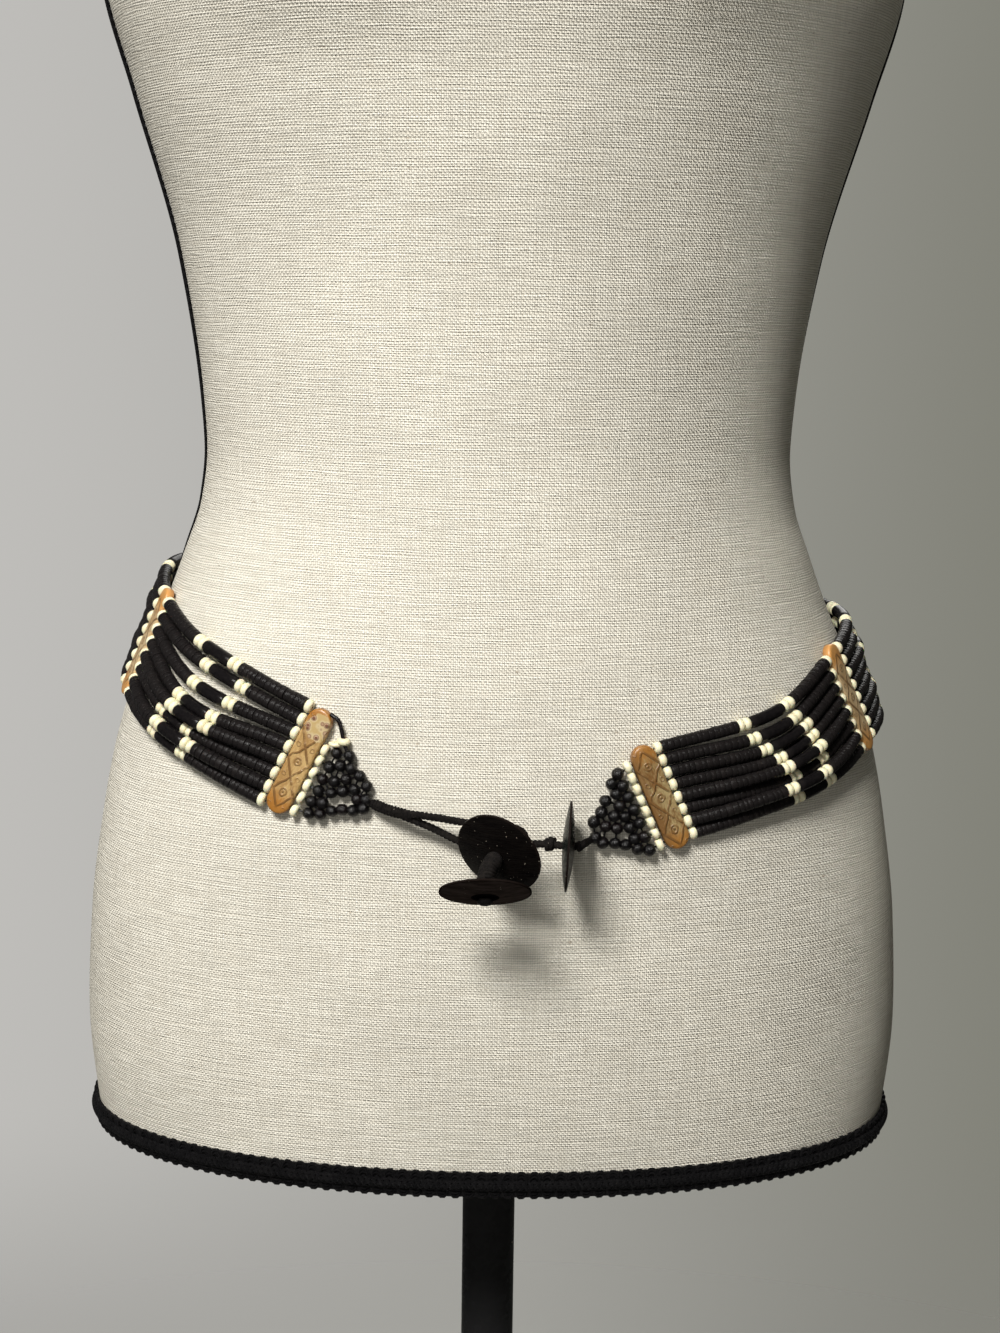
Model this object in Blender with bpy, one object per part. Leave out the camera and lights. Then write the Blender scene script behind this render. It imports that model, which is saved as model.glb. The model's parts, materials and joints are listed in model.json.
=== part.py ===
"""Beaded hip belt worn by a linen dress form, at real size, in metres, +Z up, its front facing -Y.

Eight strings of disc beads run through eight drilled bars. A bead net at each end gathers the strings
into a cord, and a cord loop hooks over a toggle of two lens-shaped discs. The origin is the centre of
the stand's base, on the floor.
"""

import math
from collections import namedtuple

import bpy
import numpy as np
from mathutils import Matrix, Vector

MM = 0.001

# Clearances between neighbouring pieces
SEAM_GAP = 0.3 * MM
DRAPE_GAP = 0.7 * MM

# Stand
BASE_RADIUS = 0.160
BASE_THICKNESS = 0.014
BASE_EDGE = 0.004
POLE_RADIUS = 0.011
COLLAR_RADIUS = 0.034
COLLAR_HEIGHT = 0.009
HEM_HEIGHT = 0.770

# Dress form: one row for each level, heights measured up from the hem
Section = namedtuple("Section", "height half_width front back squareness")
FORM_SECTIONS = (
    Section(0.000, 0.1618, 0.0868, 0.1140, 2.0),
    Section(0.046, 0.1657, 0.0900, 0.1200, 2.0),
    Section(0.089, 0.1636, 0.0920, 0.1200, 2.0),
    Section(0.131, 0.1578, 0.0920, 0.1130, 2.0),
    Section(0.154, 0.1533, 0.0910, 0.1060, 2.0),
    Section(0.173, 0.1480, 0.0900, 0.1000, 2.0),
    Section(0.200, 0.1378, 0.0885, 0.0900, 2.0),
    Section(0.214, 0.1316, 0.0875, 0.0860, 2.0),
    Section(0.234, 0.1240, 0.0865, 0.0810, 2.0),
    Section(0.254, 0.1172, 0.0855, 0.0780, 2.0),
    Section(0.274, 0.1148, 0.0850, 0.0770, 2.0),
    Section(0.293, 0.1158, 0.0860, 0.0770, 2.0),
    Section(0.348, 0.1236, 0.0910, 0.0820, 2.0),
    Section(0.408, 0.1400, 0.1010, 0.0920, 2.1),
    Section(0.445, 0.1500, 0.1080, 0.0970, 2.2),
    Section(0.500, 0.1560, 0.1090, 0.1000, 2.3),
    Section(0.560, 0.1550, 0.0980, 0.0990, 2.5),
    Section(0.620, 0.1535, 0.0800, 0.0900, 2.7),
    Section(0.655, 0.1460, 0.0680, 0.0800, 2.7),
    Section(0.685, 0.1080, 0.0600, 0.0720, 2.4),
    Section(0.708, 0.0680, 0.0540, 0.0630, 2.1),
    Section(0.730, 0.0540, 0.0500, 0.0560, 2.0),
    Section(0.775, 0.0500, 0.0480, 0.0520, 2.0),
)
FORM_LEVELS = (0.0, 0.023, 0.046, 0.0675, 0.089, 0.110, 0.131, 0.152, 0.173, 0.1935, 0.214, 0.234, 0.254,
               0.274, 0.293, 0.320, 0.348, 0.378, 0.408, 0.445, 0.475, 0.510, 0.560, 0.610, 0.642, 0.662,
               0.685, 0.708, 0.730, 0.775)
FORM_SIDES = 32
BUST_HEIGHT = 0.480
BUST_APART = 0.072
BUST_DEPTH = 0.024
BUST_SPREAD = 0.042
NECK_CAP_HEIGHT = 0.010
NECK_CAP_OVERHANG = 0.002

# Braid round the hem and down the side seams
HEM_BRAID_HEIGHT = 0.0115
HEM_BRAID_DROP = 0.0015
HEM_BRAID_THICKNESS = 0.0032
SEAM_BRAID_HALF_WIDTH = 0.0035
SEAM_BRAID_THICKNESS = 0.0010
SEAM_TOP = 0.560

# Where the side seams lie, as angles from the front of the form
Seam = namedtuple("Seam", "height left right")
SEAM_LINE = (
    Seam(0.000, 101.0, 104.0),
    Seam(0.150, 100.0, 103.0),
    Seam(0.214, 95.0, 98.0),
    Seam(0.274, 89.0, 95.0),
    Seam(0.370, 84.0, 91.0),
    Seam(0.445, 82.0, 89.0),
    Seam(0.560, 82.0, 89.0),
)

# Belt: where its middle line lies on the form, seen from above, 0 at the front and -90 at the wearer's
# right, which is the left of a front view
LinePoint = namedtuple("LinePoint", "angle height")
BELT_LINE = (
    LinePoint(-180.0, 0.2020),
    LinePoint(-140.0, 0.2060),
    LinePoint(-108.0, 0.2060),
    LinePoint(-75.5, 0.1979),
    LinePoint(-52.0, 0.1824),
    LinePoint(-27.8, 0.1651),
    LinePoint(-17.9, 0.1535),
    LinePoint(0.0, 0.1430),
    LinePoint(12.0, 0.1440),
    LinePoint(23.0, 0.1545),
    LinePoint(45.0, 0.1640),
    LinePoint(68.2, 0.1820),
    LinePoint(105.0, 0.1915),
    LinePoint(140.0, 0.1970),
)

# Bars from the left end round the back to the right end: an angle where it is set by the front view, the
# pitch of the holes, half the bar's length, and its turn away from square to the belt, in degrees
BarRow = namedtuple("BarRow", "angle pitch half_length turn")
BARS = (
    BarRow(-27.8, 5.65 * MM, 21.6 * MM, -4.5),
    BarRow(-75.5, 5.65 * MM, 23.4 * MM, 0.0),
    BarRow(None, 5.60 * MM, 23.0 * MM, 0.0),
    BarRow(None, 5.60 * MM, 23.0 * MM, 0.0),
    BarRow(None, 5.60 * MM, 23.0 * MM, 0.0),
    BarRow(None, 5.60 * MM, 23.0 * MM, 0.0),
    BarRow(68.2, 5.35 * MM, 22.8 * MM, 3.0),
    BarRow(23.0, 4.95 * MM, 20.6 * MM, 9.0),
)

STRINGS = 8
STRING_GAP = 0.35 * MM
DISC_BEAD_RADIUS = 2.5 * MM
END_BEAD_RADIUS = 2.6 * MM
END_BEAD_FACE_SHARE = 0.8
END_BEAD_LENGTH = 3.0 * MM
THREAD_RADIUS = 0.45 * MM

BAR_HALF_WIDTH = 4.8 * MM
BAR_THICKNESS = 3.6 * MM
BAR_GAP = 0.6 * MM
BAR_END_STEPS = 4
DRILL_RADIUS = 0.95 * MM

# How far each string strays in the middle of a panel: up across the belt, and out from the form
Stray = namedtuple("Stray", "left_up left_out back_up back_out right_up right_out")
STRING_STRAYS = (
    Stray(1.7 * MM, 0.0, 0.5 * MM, 0.0, 0.0, 0.0),
    Stray(1.4 * MM, 0.0, 0.3 * MM, 0.0, -1.1 * MM, 0.0),
    Stray(-1.5 * MM, 0.0, -0.2 * MM, 1.2 * MM, -1.3 * MM, 0.0),
    Stray(-3.3 * MM, 0.6 * MM, -0.5 * MM, 0.0, -1.0 * MM, 0.0),
    Stray(-1.5 * MM, 3.6 * MM, -0.6 * MM, 0.0, 0.7 * MM, 3.5 * MM),
    Stray(-1.2 * MM, 0.0, -0.7 * MM, 0.8 * MM, 0.4 * MM, 0.0),
    Stray(1.1 * MM, 4.0 * MM, -0.8 * MM, 0.0, 3.2 * MM, 4.4 * MM),
    Stray(1.7 * MM, 0.0, -1.0 * MM, 0.0, 3.4 * MM, 0.0),
)

# Panels between the bars: which strays their strings take, how far they bulge, and the steps in each line
Panel = namedtuple("Panel", "strays bulge steps")
PANELS = (
    Panel("left", 0.9 * MM, 6),
    Panel("back", 2.5 * MM, 5),
    Panel("back", 1.0 * MM, 5),
    Panel("back", 0.6 * MM, 5),
    Panel("back", 1.0 * MM, 5),
    Panel("back", 2.5 * MM, 5),
    Panel("right", 0.7 * MM, 6),
)

# Sections in which the strings are made, as first and last bar
STRING_SECTIONS = {"left": (0, 2), "back": (2, 5), "right": (5, 7)}

# Bead nets: the cream row beside the end bar, then rows of one bead fewer up to the apex
NET_ROWS = 7
NET_BEAD_RADIUS = 2.15 * MM
NET_LINK_RADIUS = 0.9 * MM
CREAM_BEAD_RADIUS = 2.6 * MM
CREAM_NECK_RADIUS = 1.3 * MM
CREAM_ROW_OFFSET = 2.1 * MM
CREAM_HALF_THICKNESS = 1.7 * MM
NET_START = 4.2 * MM
TIP_REACH = 0.08
Net = namedtuple("Net", "bar side apex_angle apex_height lowest highest missing")
NETS = {
    "left": Net(0, -1.0, -17.2, 0.1528, -18.4 * MM, 9.0 * MM, ()),
    "right": Net(7, 1.0, 13.5, 0.1404, -16.0 * MM, 15.6 * MM, ((2, 1), (3, 1), (1, 4))),
}

# Toggle: each disc's centre, measured from the form's axis and the hem, and the way its face looks
# The cords' routes below are measured the same way
Disc = namedtuple("Disc", "centre facing")
DISCS = {
    "upper": Disc((0.0023, -0.1125, 0.1399), (-0.439, -0.812, -0.384)),
    "lower": Disc((-0.0024, -0.1240, 0.1290), (0.010, -0.527, -0.850)),
    "edge": Disc((0.0268, -0.1085, 0.1416), (-0.998, 0.043, 0.047)),
}
DISC_RADIUS = 16.2 * MM
DISC_HALF_THICKNESS = 2.2 * MM
DISC_RIM_HALF = 0.35 * MM
DISC_HOLE_RADIUS = 1.9 * MM
DISC_SIDES = 20
CORD_RADIUS = 1.45 * MM
WRAPPED_CORD_RADIUS = 2.1 * MM
STEM_RADIUS = 3.3 * MM
KNOT_RADIUS = 2.7 * MM

ROUND_SIDES = 32
CORD_BEVEL_STEPS = 1

FINISHES = {
    "linen": ((0.78, 0.72, 0.60), 0.90, 0.0),
    "braid": ((0.012, 0.011, 0.011), 0.70, 0.0),
    "stand_metal": ((0.010, 0.010, 0.011), 0.30, 0.6),
    "bone": ((0.62, 0.36, 0.13), 0.35, 0.0),
    "disc_bead": ((0.014, 0.012, 0.012), 0.55, 0.0),
    "cream_bead": ((0.80, 0.74, 0.52), 0.45, 0.0),
    "net_bead": ((0.010, 0.008, 0.008), 0.25, 0.0),
    "cord": ((0.012, 0.011, 0.012), 0.75, 0.0),
    "disc": ((0.012, 0.009, 0.008), 0.22, 0.0),
}


def clear_scene():
    """Removes the startup scene's objects."""
    for item in list(bpy.data.objects):
        bpy.data.objects.remove(item)


def material(name):
    """The Principled material for one of the named finishes, made once."""
    made = bpy.data.materials.get(name)
    if made:
        return made
    colour, roughness, metallic = FINISHES[name]
    made = bpy.data.materials.new(name)
    made.use_nodes = True
    shader = made.node_tree.nodes["Principled BSDF"]
    shader.inputs["Base Color"].default_value = (*colour, 1.0)
    shader.inputs["Roughness"].default_value = roughness
    shader.inputs["Metallic"].default_value = metallic
    made.diffuse_color = (*colour, 1.0)
    return made


def add_object(name, data, finish):
    """Links an object with this data to the scene and gives it its finish."""
    item = bpy.data.objects.new(name, data)
    bpy.context.scene.collection.objects.link(item)
    if not data.materials:
        data.materials.append(material(finish))
    return item


def smooth_line(places, values, period=None):
    """A function that follows a smooth curve through the values, without overshooting them."""
    places, values = np.array(places, float), np.array(values, float)
    if period:
        places = np.concatenate([places - period, places, places + period])
        values = np.concatenate([values, values, values])
    steps = np.diff(places)
    slopes = np.diff(values) / steps
    tangents = np.zeros_like(values)
    tangents[0], tangents[-1] = slopes[0], slopes[-1]
    for i in range(1, len(places) - 1):
        before, after = slopes[i - 1], slopes[i]
        if before * after > 0:
            tangents[i] = 2 * before * after / (before + after)

    def at(place):
        i = int(np.clip(np.searchsorted(places, place) - 1, 0, len(steps) - 1))
        t = (place - places[i]) / steps[i]
        start = (2 * t**3 - 3 * t**2 + 1) * values[i] + (t**3 - 2 * t**2 + t) * steps[i] * tangents[i]
        end = (3 * t**2 - 2 * t**3) * values[i + 1] + (t**3 - t**2) * steps[i] * tangents[i + 1]
        return float(start + end)

    return at


def section_lines():
    """One smooth function of height for each measure of the form's sections."""
    heights = [row.height for row in FORM_SECTIONS]
    fields = Section._fields[1:]
    return {field: smooth_line(heights, [getattr(row, field) for row in FORM_SECTIONS]) for field in fields}


FORM = section_lines()
BELT_HEIGHT = smooth_line([row.angle for row in BELT_LINE], [row.height for row in BELT_LINE], period=360.0)


def powered(value, power):
    """A signed power, for sections squarer than an ellipse."""
    return math.copysign(abs(value) ** power, value)


def form_point(angle, height):
    """The point of the form's surface at an angle in degrees, 0 at the front, and a height above the hem."""
    turn = math.radians(angle)
    power = 2.0 / FORM["squareness"](height)
    across, ahead = powered(math.sin(turn), power), powered(math.cos(turn), power)
    middle = (FORM["front"](height) + FORM["back"](height)) / 2
    lean = (FORM["front"](height) - FORM["back"](height)) / 2
    x = FORM["half_width"](height) * across
    y = -(middle * ahead + lean * ahead * ahead)
    if ahead > 0:
        rise = math.exp(-(((height - BUST_HEIGHT) / BUST_SPREAD) ** 2))
        swell = sum(math.exp(-(((x - side * BUST_APART) / BUST_SPREAD) ** 2)) for side in (-1, 1))
        y -= BUST_DEPTH * rise * swell * ahead
    return Vector((x, y, HEM_HEIGHT + height))


def form_normal(angle, height):
    """The outward normal of the form there."""
    turn, rise = 0.5, 0.001
    along = form_point(angle + turn, height) - form_point(angle - turn, height)
    up = form_point(angle, height + rise) - form_point(angle, height - rise)
    return along.cross(up).normalized()


def on_form(point, lift=0.0):
    """The point of the form beside this one, moved out by the lift."""
    height = point.z - HEM_HEIGHT
    middle = (FORM["front"](height) + FORM["back"](height)) / 2
    lean = (FORM["front"](height) - FORM["back"](height)) / 2
    depth = middle
    turn = 0.0
    for _ in range(6):
        turn = math.atan2(point.x / FORM["half_width"](height), -point.y / depth)
        depth = middle + lean * math.cos(turn)
    angle = math.degrees(turn)
    return form_point(angle, height) + form_normal(angle, height) * lift


def ring_solid(name, rings, finish, looped=False):
    """A closed solid through rings of equally many points, capped at both ends unless it is looped."""
    count = len(rings[0])
    points = [point for ring in rings for point in ring]
    faces = []
    for i in range(len(rings) if looped else len(rings) - 1):
        a, b = i * count, (i + 1) % len(rings) * count
        for j in range(count):
            k = (j + 1) % count
            faces.append((a + j, a + k, b + k, b + j))
    if not looped:
        faces.append(tuple(range(count))[::-1])
        faces.append(tuple(range(len(points) - count, len(points))))
    mesh = bpy.data.meshes.new(name)
    mesh.from_pydata(points, [], faces)
    mesh.validate()
    mesh.shade_smooth()
    mesh.set_sharp_from_angle(angle=math.radians(40))
    return add_object(name, mesh, finish)


def circle(radius, height, sides=ROUND_SIDES):
    """A level ring of points about the Z axis, anticlockwise from above."""
    turns = [2 * math.pi * i / sides for i in range(sides)]
    return [Vector((radius * math.cos(turn), radius * math.sin(turn), height)) for turn in turns]


def tube(name, points, radii, finish, bevel_steps=CORD_BEVEL_STEPS):
    """A round tube along the points, with its own radius at each, as a capped curve."""
    curve = bpy.data.curves.new(name, "CURVE")
    curve.dimensions = "3D"
    curve.bevel_depth = 1.0
    curve.bevel_resolution = bevel_steps
    curve.use_fill_caps = True
    spline = curve.splines.new("POLY")
    spline.points.add(len(points) - 1)
    for spot, point, radius in zip(spline.points, points, radii):
        spot.co = (*point, 1.0)
        spot.radius = radius
    return add_object(name, curve, finish)


def as_mesh(item):
    """Swaps an object for one that holds its finished mesh, with coincident points merged."""
    weld = item.modifiers.new("weld", "WELD")
    weld.merge_threshold = 0.00001
    bpy.context.view_layer.update()
    graph = bpy.context.evaluated_depsgraph_get()
    mesh = bpy.data.meshes.new_from_object(item.evaluated_get(graph))
    name, finish = item.name, item.data.materials[0].name
    bpy.data.objects.remove(item)
    return add_object(name, mesh, finish)


def united(name, items, finish):
    """One solid from overlapping ones."""
    items = [as_mesh(item) for item in items]
    first = items[0]
    for other in items[1:]:
        join = first.modifiers.new("join", "BOOLEAN")
        join.operation = "UNION"
        join.object = other
    bpy.context.view_layer.update()
    graph = bpy.context.evaluated_depsgraph_get()
    mesh = bpy.data.meshes.new_from_object(first.evaluated_get(graph))
    for item in items:
        bpy.data.objects.remove(item)
    return add_object(name, mesh, finish)


def build_stand():
    """Base plate, pole and the collar under the form."""
    edge = BASE_RADIUS - BASE_EDGE
    boss = POLE_RADIUS + 0.012
    base_top = BASE_THICKNESS + 0.010
    ring_solid("base", [circle(BASE_RADIUS, 0.0), circle(BASE_RADIUS, BASE_THICKNESS - BASE_EDGE),
                        circle(edge, BASE_THICKNESS), circle(boss + 0.006, BASE_THICKNESS + 0.001),
                        circle(boss, base_top)], "stand_metal")
    collar_foot = HEM_HEIGHT - COLLAR_HEIGHT
    ring_solid("pole", [circle(POLE_RADIUS, base_top + SEAM_GAP, 20),
                        circle(POLE_RADIUS, collar_foot - SEAM_GAP, 20)], "stand_metal")
    ring_solid("collar", [circle(COLLAR_RADIUS, collar_foot, 20),
                          circle(COLLAR_RADIUS, HEM_HEIGHT - SEAM_GAP, 20)], "stand_metal")


def form_ring(height, lift=0.0):
    """A ring of points round the form at one height."""
    angles = [360.0 * i / FORM_SIDES for i in range(FORM_SIDES)]
    return [form_point(angle, height) + level(form_normal(angle, height)) * lift for angle in angles]


def level(vector):
    """The vector laid level, at unit length."""
    return Vector((vector.x, vector.y, 0.0)).normalized()


def build_form():
    """The torso from hem to neck, and the cap on its neck."""
    ring_solid("torso", [form_ring(height) for height in FORM_LEVELS], "linen")
    top = FORM_LEVELS[-1]
    foot = HEM_HEIGHT + top + SEAM_GAP
    rings = []
    for height, overhang in ((0.0, 0.0), (0.003, NECK_CAP_OVERHANG), (NECK_CAP_HEIGHT, -0.004)):
        ring = form_ring(top, overhang)
        rings.append([Vector((point.x, point.y, foot + height)) for point in ring])
    ring_solid("neck_cap", rings, "stand_metal")


def build_hem_braid():
    """The band of braid that covers the hem's edge."""
    inner, outer = SEAM_GAP, SEAM_GAP + HEM_BRAID_THICKNESS
    bottom, top = -HEM_BRAID_DROP, HEM_BRAID_HEIGHT - HEM_BRAID_DROP
    sections = []
    for i in range(FORM_SIDES):
        angle = 360.0 * i / FORM_SIDES
        out = level(form_normal(angle, 0.0005))
        low, high = form_point(angle, 0.0), form_point(angle, top)
        foot = Vector((low.x, low.y, HEM_HEIGHT + bottom))
        sections.append([foot + out * inner, high + out * inner, high + out * outer, foot + out * outer])
    ring_solid("hem_braid", sections, "braid", looped=True)


SEAM_LINES = {side: smooth_line([row.height for row in SEAM_LINE], [getattr(row, side) for row in SEAM_LINE])
              for side in ("left", "right")}


def build_seam_braids():
    """The braid on the two side seams, from above the hem's braid to the armhole."""
    foot = HEM_BRAID_HEIGHT - HEM_BRAID_DROP + 2 * SEAM_GAP
    levels = [foot] + [height for height in FORM_LEVELS if foot + 0.01 < height <= SEAM_TOP]
    for side, name in ((-1, "left"), (1, "right")):
        rings = []
        for height in levels:
            angle = side * SEAM_LINES[name](height)
            out = form_normal(angle, height)
            spot = form_point(angle, height) + out * SEAM_GAP
            across = Vector((0.0, 0.0, 1.0)).cross(out).normalized() * SEAM_BRAID_HALF_WIDTH
            thick = out * SEAM_BRAID_THICKNESS
            rings.append([spot + across, spot - across, spot - across + thick, spot + across + thick])
        ring_solid(f"seam_braid_{name}", rings, "braid")


class BeltPath:
    """The belt's middle line on the form, from the left end bar round the back to the right end bar."""

    def __init__(self):
        first, last = BARS[0].angle, BARS[-1].angle - 360.0
        self.angles = np.linspace(first, last, 307)
        points = [self.point(angle) for angle in self.angles]
        steps = [(b - a).length for a, b in zip(points, points[1:])]
        self.lengths = np.concatenate([[0.0], np.cumsum(steps)])

    @staticmethod
    def point(angle):
        """The middle line at an angle, on the form."""
        wrapped = (angle + 180.0) % 360.0 - 180.0
        return form_point(wrapped, BELT_HEIGHT(wrapped))

    def angle_at(self, length):
        """The angle that lies this far along the belt."""
        return float(np.interp(length, self.lengths, self.angles))

    def length_at(self, angle):
        """How far along the belt an angle lies."""
        return float(np.interp(-angle, -self.angles, self.lengths))

    def frame(self, length):
        """The point there, and the ways along the belt, up across it and out of the form."""
        angle = self.angle_at(length)
        along = (self.point(angle - 0.5) - self.point(angle + 0.5)).normalized()
        out = form_normal(angle, BELT_HEIGHT((angle + 180.0) % 360.0 - 180.0))
        up = along.cross(out).normalized()
        return self.point(angle), along, up, out


def bar_lengths(path):
    """How far along the belt each bar's middle lies; the back bars share their stretch evenly."""
    left = path.length_at(BARS[1].angle)
    right = path.length_at(BARS[-2].angle - 360.0)
    panels = len(BARS) - 3
    between = [left + (right - left) * i / panels for i in range(panels + 1)]
    return [0.0, *between, float(path.lengths[-1])]


class Bar:
    """A drilled bar's place: its centre, and the ways along the belt, up the bar and out of it."""

    def __init__(self, path, length, row):
        spot, self.along, self.up, self.out = path.frame(length)
        turn = Matrix.Rotation(math.radians(row.turn), 3, self.out)
        self.along, self.up = turn @ self.along, turn @ self.up
        self.pitch, self.half_length = row.pitch, row.half_length
        half = BAR_THICKNESS / 2
        self.centre = spot + self.out * (BAR_GAP + half)
        self.centre += self.out * max(0.0, BAR_GAP - self.least_gap(half))

    def least_gap(self, half):
        """The smallest gap between the bar's underside and the form."""
        gaps = []
        for rise in (-1.0, -0.5, 0.0, 0.5, 1.0):
            for side in (-1.0, 0.0, 1.0):
                spot = self.point(side * BAR_HALF_WIDTH, rise * self.half_length) - self.out * half
                gaps.append((spot - on_form(spot)).dot(self.out))
        return min(gaps)

    def point(self, along, up, out=0.0):
        """A point given in the bar's own ways."""
        return self.centre + self.along * along + self.up * up + self.out * out

    def rise(self, i):
        """How far above the bar's middle string i runs, counted from the top."""
        return ((STRINGS - 1) / 2 - i) * self.pitch

    def matrix(self):
        """The bar's placement."""
        turn = Matrix((self.along, self.up, self.out)).transposed().to_4x4()
        return Matrix.Translation(self.centre) @ turn


def bar_outline(half_length):
    """The bar's outline, a slot shape with round ends."""
    straight = half_length - BAR_HALF_WIDTH
    points = []
    for side, start in ((1, 0.0), (-1, 180.0)):
        for i in range(BAR_END_STEPS + 1):
            turn = math.radians(start + 180.0 * i / BAR_END_STEPS)
            points.append((BAR_HALF_WIDTH * math.cos(turn), side * straight + BAR_HALF_WIDTH * math.sin(turn)))
    return points


def build_bar(name, bar):
    """A flat bar with round ends, drilled across for each string."""
    half = BAR_THICKNESS / 2
    rings = [[Vector((x, y, z)) for x, y in bar_outline(bar.half_length)] for z in (-half, half)]
    blank = ring_solid(f"{name}_blank", rings, "bone")
    reach = 2 * BAR_HALF_WIDTH
    drills = []
    for i in range(STRINGS):
        ends = [Vector((-reach, bar.rise(i), 0.0)), Vector((reach, bar.rise(i), 0.0))]
        drills.append(as_mesh(tube(f"{name}_drill_{i}", ends, [DRILL_RADIUS] * 2, "bone")))
        cut = blank.modifiers.new("drill", "BOOLEAN")
        cut.operation = "DIFFERENCE"
        cut.object = drills[-1]
    bpy.context.view_layer.update()
    graph = bpy.context.evaluated_depsgraph_get()
    mesh = bpy.data.meshes.new_from_object(blank.evaluated_get(graph))
    for item in (blank, *drills):
        bpy.data.objects.remove(item)
    add_object(name, mesh, "bone").matrix_world = bar.matrix()


def eased(share):
    """A share from 0 to 1, eased at both ends."""
    return share * share * (3 - 2 * share)


def bead_radius(pitch):
    """The disc beads' radius where strings lie this far apart."""
    return min(DISC_BEAD_RADIUS, (pitch - STRING_GAP) / 2)


def panel_points(path, bars, lengths, panel, i):
    """The middle line of string i between two bars: points from one bar's face to the next one's."""
    start, end = bars[panel], bars[panel + 1]
    first = start.point(BAR_HALF_WIDTH, start.rise(i))
    last = end.point(-BAR_HALF_WIDTH, end.rise(i))
    strays, bulge, steps = PANELS[panel]
    stray_up = getattr(STRING_STRAYS[i], f"{strays}_up")
    stray_out = getattr(STRING_STRAYS[i], f"{strays}_out")
    shares = [step / steps for step in range(steps + 1)]
    draped = []
    for share in shares:
        length = lengths[panel] + BAR_HALF_WIDTH
        length += share * (lengths[panel + 1] - lengths[panel] - 2 * BAR_HALF_WIDTH)
        spot, _, up, _ = path.frame(length)
        swing = math.sin(math.pi * share)
        rise = start.rise(i) + share * (end.rise(i) - start.rise(i))
        side = spot + up * (rise + stray_up * swing * swing)
        lift = DISC_BEAD_RADIUS + DRAPE_GAP + bulge * swing * swing + stray_out * swing
        draped.append(on_form(side, lift))
    at_first, at_last = first - draped[0], last - draped[-1]
    return [spot + at_first * (1 - eased(share)) + at_last * eased(share)
            for spot, share in zip(draped, shares)]


def string_ends(bar, side, i):
    """Points and radii of the thread and the single cream bead where string i meets a bar's face."""
    radius = min(END_BEAD_RADIUS, (bar.pitch - STRING_GAP) / 2)
    spots = [bar.point(side * (BAR_HALF_WIDTH + reach), bar.rise(i))
             for reach in (0.0, 2 * SEAM_GAP, END_BEAD_LENGTH / 2)]
    return spots, [THREAD_RADIUS, radius * END_BEAD_FACE_SHARE, radius]


def build_strings(path, bars, lengths):
    """Every string of beads, in three sections that meet inside bars."""
    for section, (first, last) in STRING_SECTIONS.items():
        for i in range(STRINGS):
            from_bar, to_bar = bars[first], bars[last]
            points = [from_bar.point(SEAM_GAP if first else -BAR_HALF_WIDTH, from_bar.rise(i))]
            radii = [THREAD_RADIUS]
            for panel in range(first, last):
                line = panel_points(path, bars, lengths, panel, i)
                start, start_radii = string_ends(bars[panel], 1, i)
                end, end_radii = string_ends(bars[panel + 1], -1, i)
                pitches = [bars[panel].pitch, bars[panel + 1].pitch]
                steps = PANELS[panel].steps
                middle = [bead_radius(pitches[0] + (pitches[1] - pitches[0]) * step / steps)
                          for step in range(1, steps)]
                points += [*start, *line[1:-1], *reversed(end)]
                radii += [*start_radii, *middle, *reversed(end_radii)]
            tail = BAR_HALF_WIDTH if last == len(bars) - 1 else -SEAM_GAP
            points.append(to_bar.point(tail, to_bar.rise(i)))
            radii.append(THREAD_RADIUS)
            tube(f"string_{section}_{i + 1}", points, radii, "disc_bead")


def beaded(spots, radius, neck_radius):
    """Points and radii of a row of touching beads at the spots."""
    reach = (spots[-1] - spots[0]).normalized() if len(spots) > 1 else Vector((0.0, 0.0, -1.0))
    ends = [spots[0] - reach * radius, spots[-1] + reach * radius]
    points, radii = [ends[0]], [neck_radius]
    for spot, after in zip(spots, [*spots[1:], None]):
        points.append(spot)
        radii.append(radius)
        if after:
            points.append((spot + after) / 2)
            radii.append(neck_radius)
    return [*points, ends[1]], [*radii, neck_radius]


def net_rises(net):
    """The rise of each bead of the cream row along its bar, from the top."""
    step = (net.highest - net.lowest) / (STRINGS - 1)
    return [net.highest - i * step for i in range(STRINGS)]


def net_corners(bar, net):
    """The net's first and last bead beside the bar, and its apex, on the form."""
    lift = NET_BEAD_RADIUS + DRAPE_GAP
    inward = net.side * (BAR_HALF_WIDTH + NET_START)
    rises = net_rises(net)
    drop = (rises[0] - rises[1]) / 2
    corners = [on_form(bar.point(inward, rise), lift) for rise in (rises[0] - drop, rises[-1] + drop)]
    apex = form_point(net.apex_angle, net.apex_height)
    apex += form_normal(net.apex_angle, net.apex_height) * lift
    return (*corners, apex)


def bead_runs(beads, row, missing):
    """The unbroken runs of a row's bead numbers, left between the missing ones."""
    runs = [[]]
    for i in range(beads):
        if (row, i) in missing:
            runs.append([])
        else:
            runs[-1].append(i)
    return [run for run in runs if run]


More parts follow.
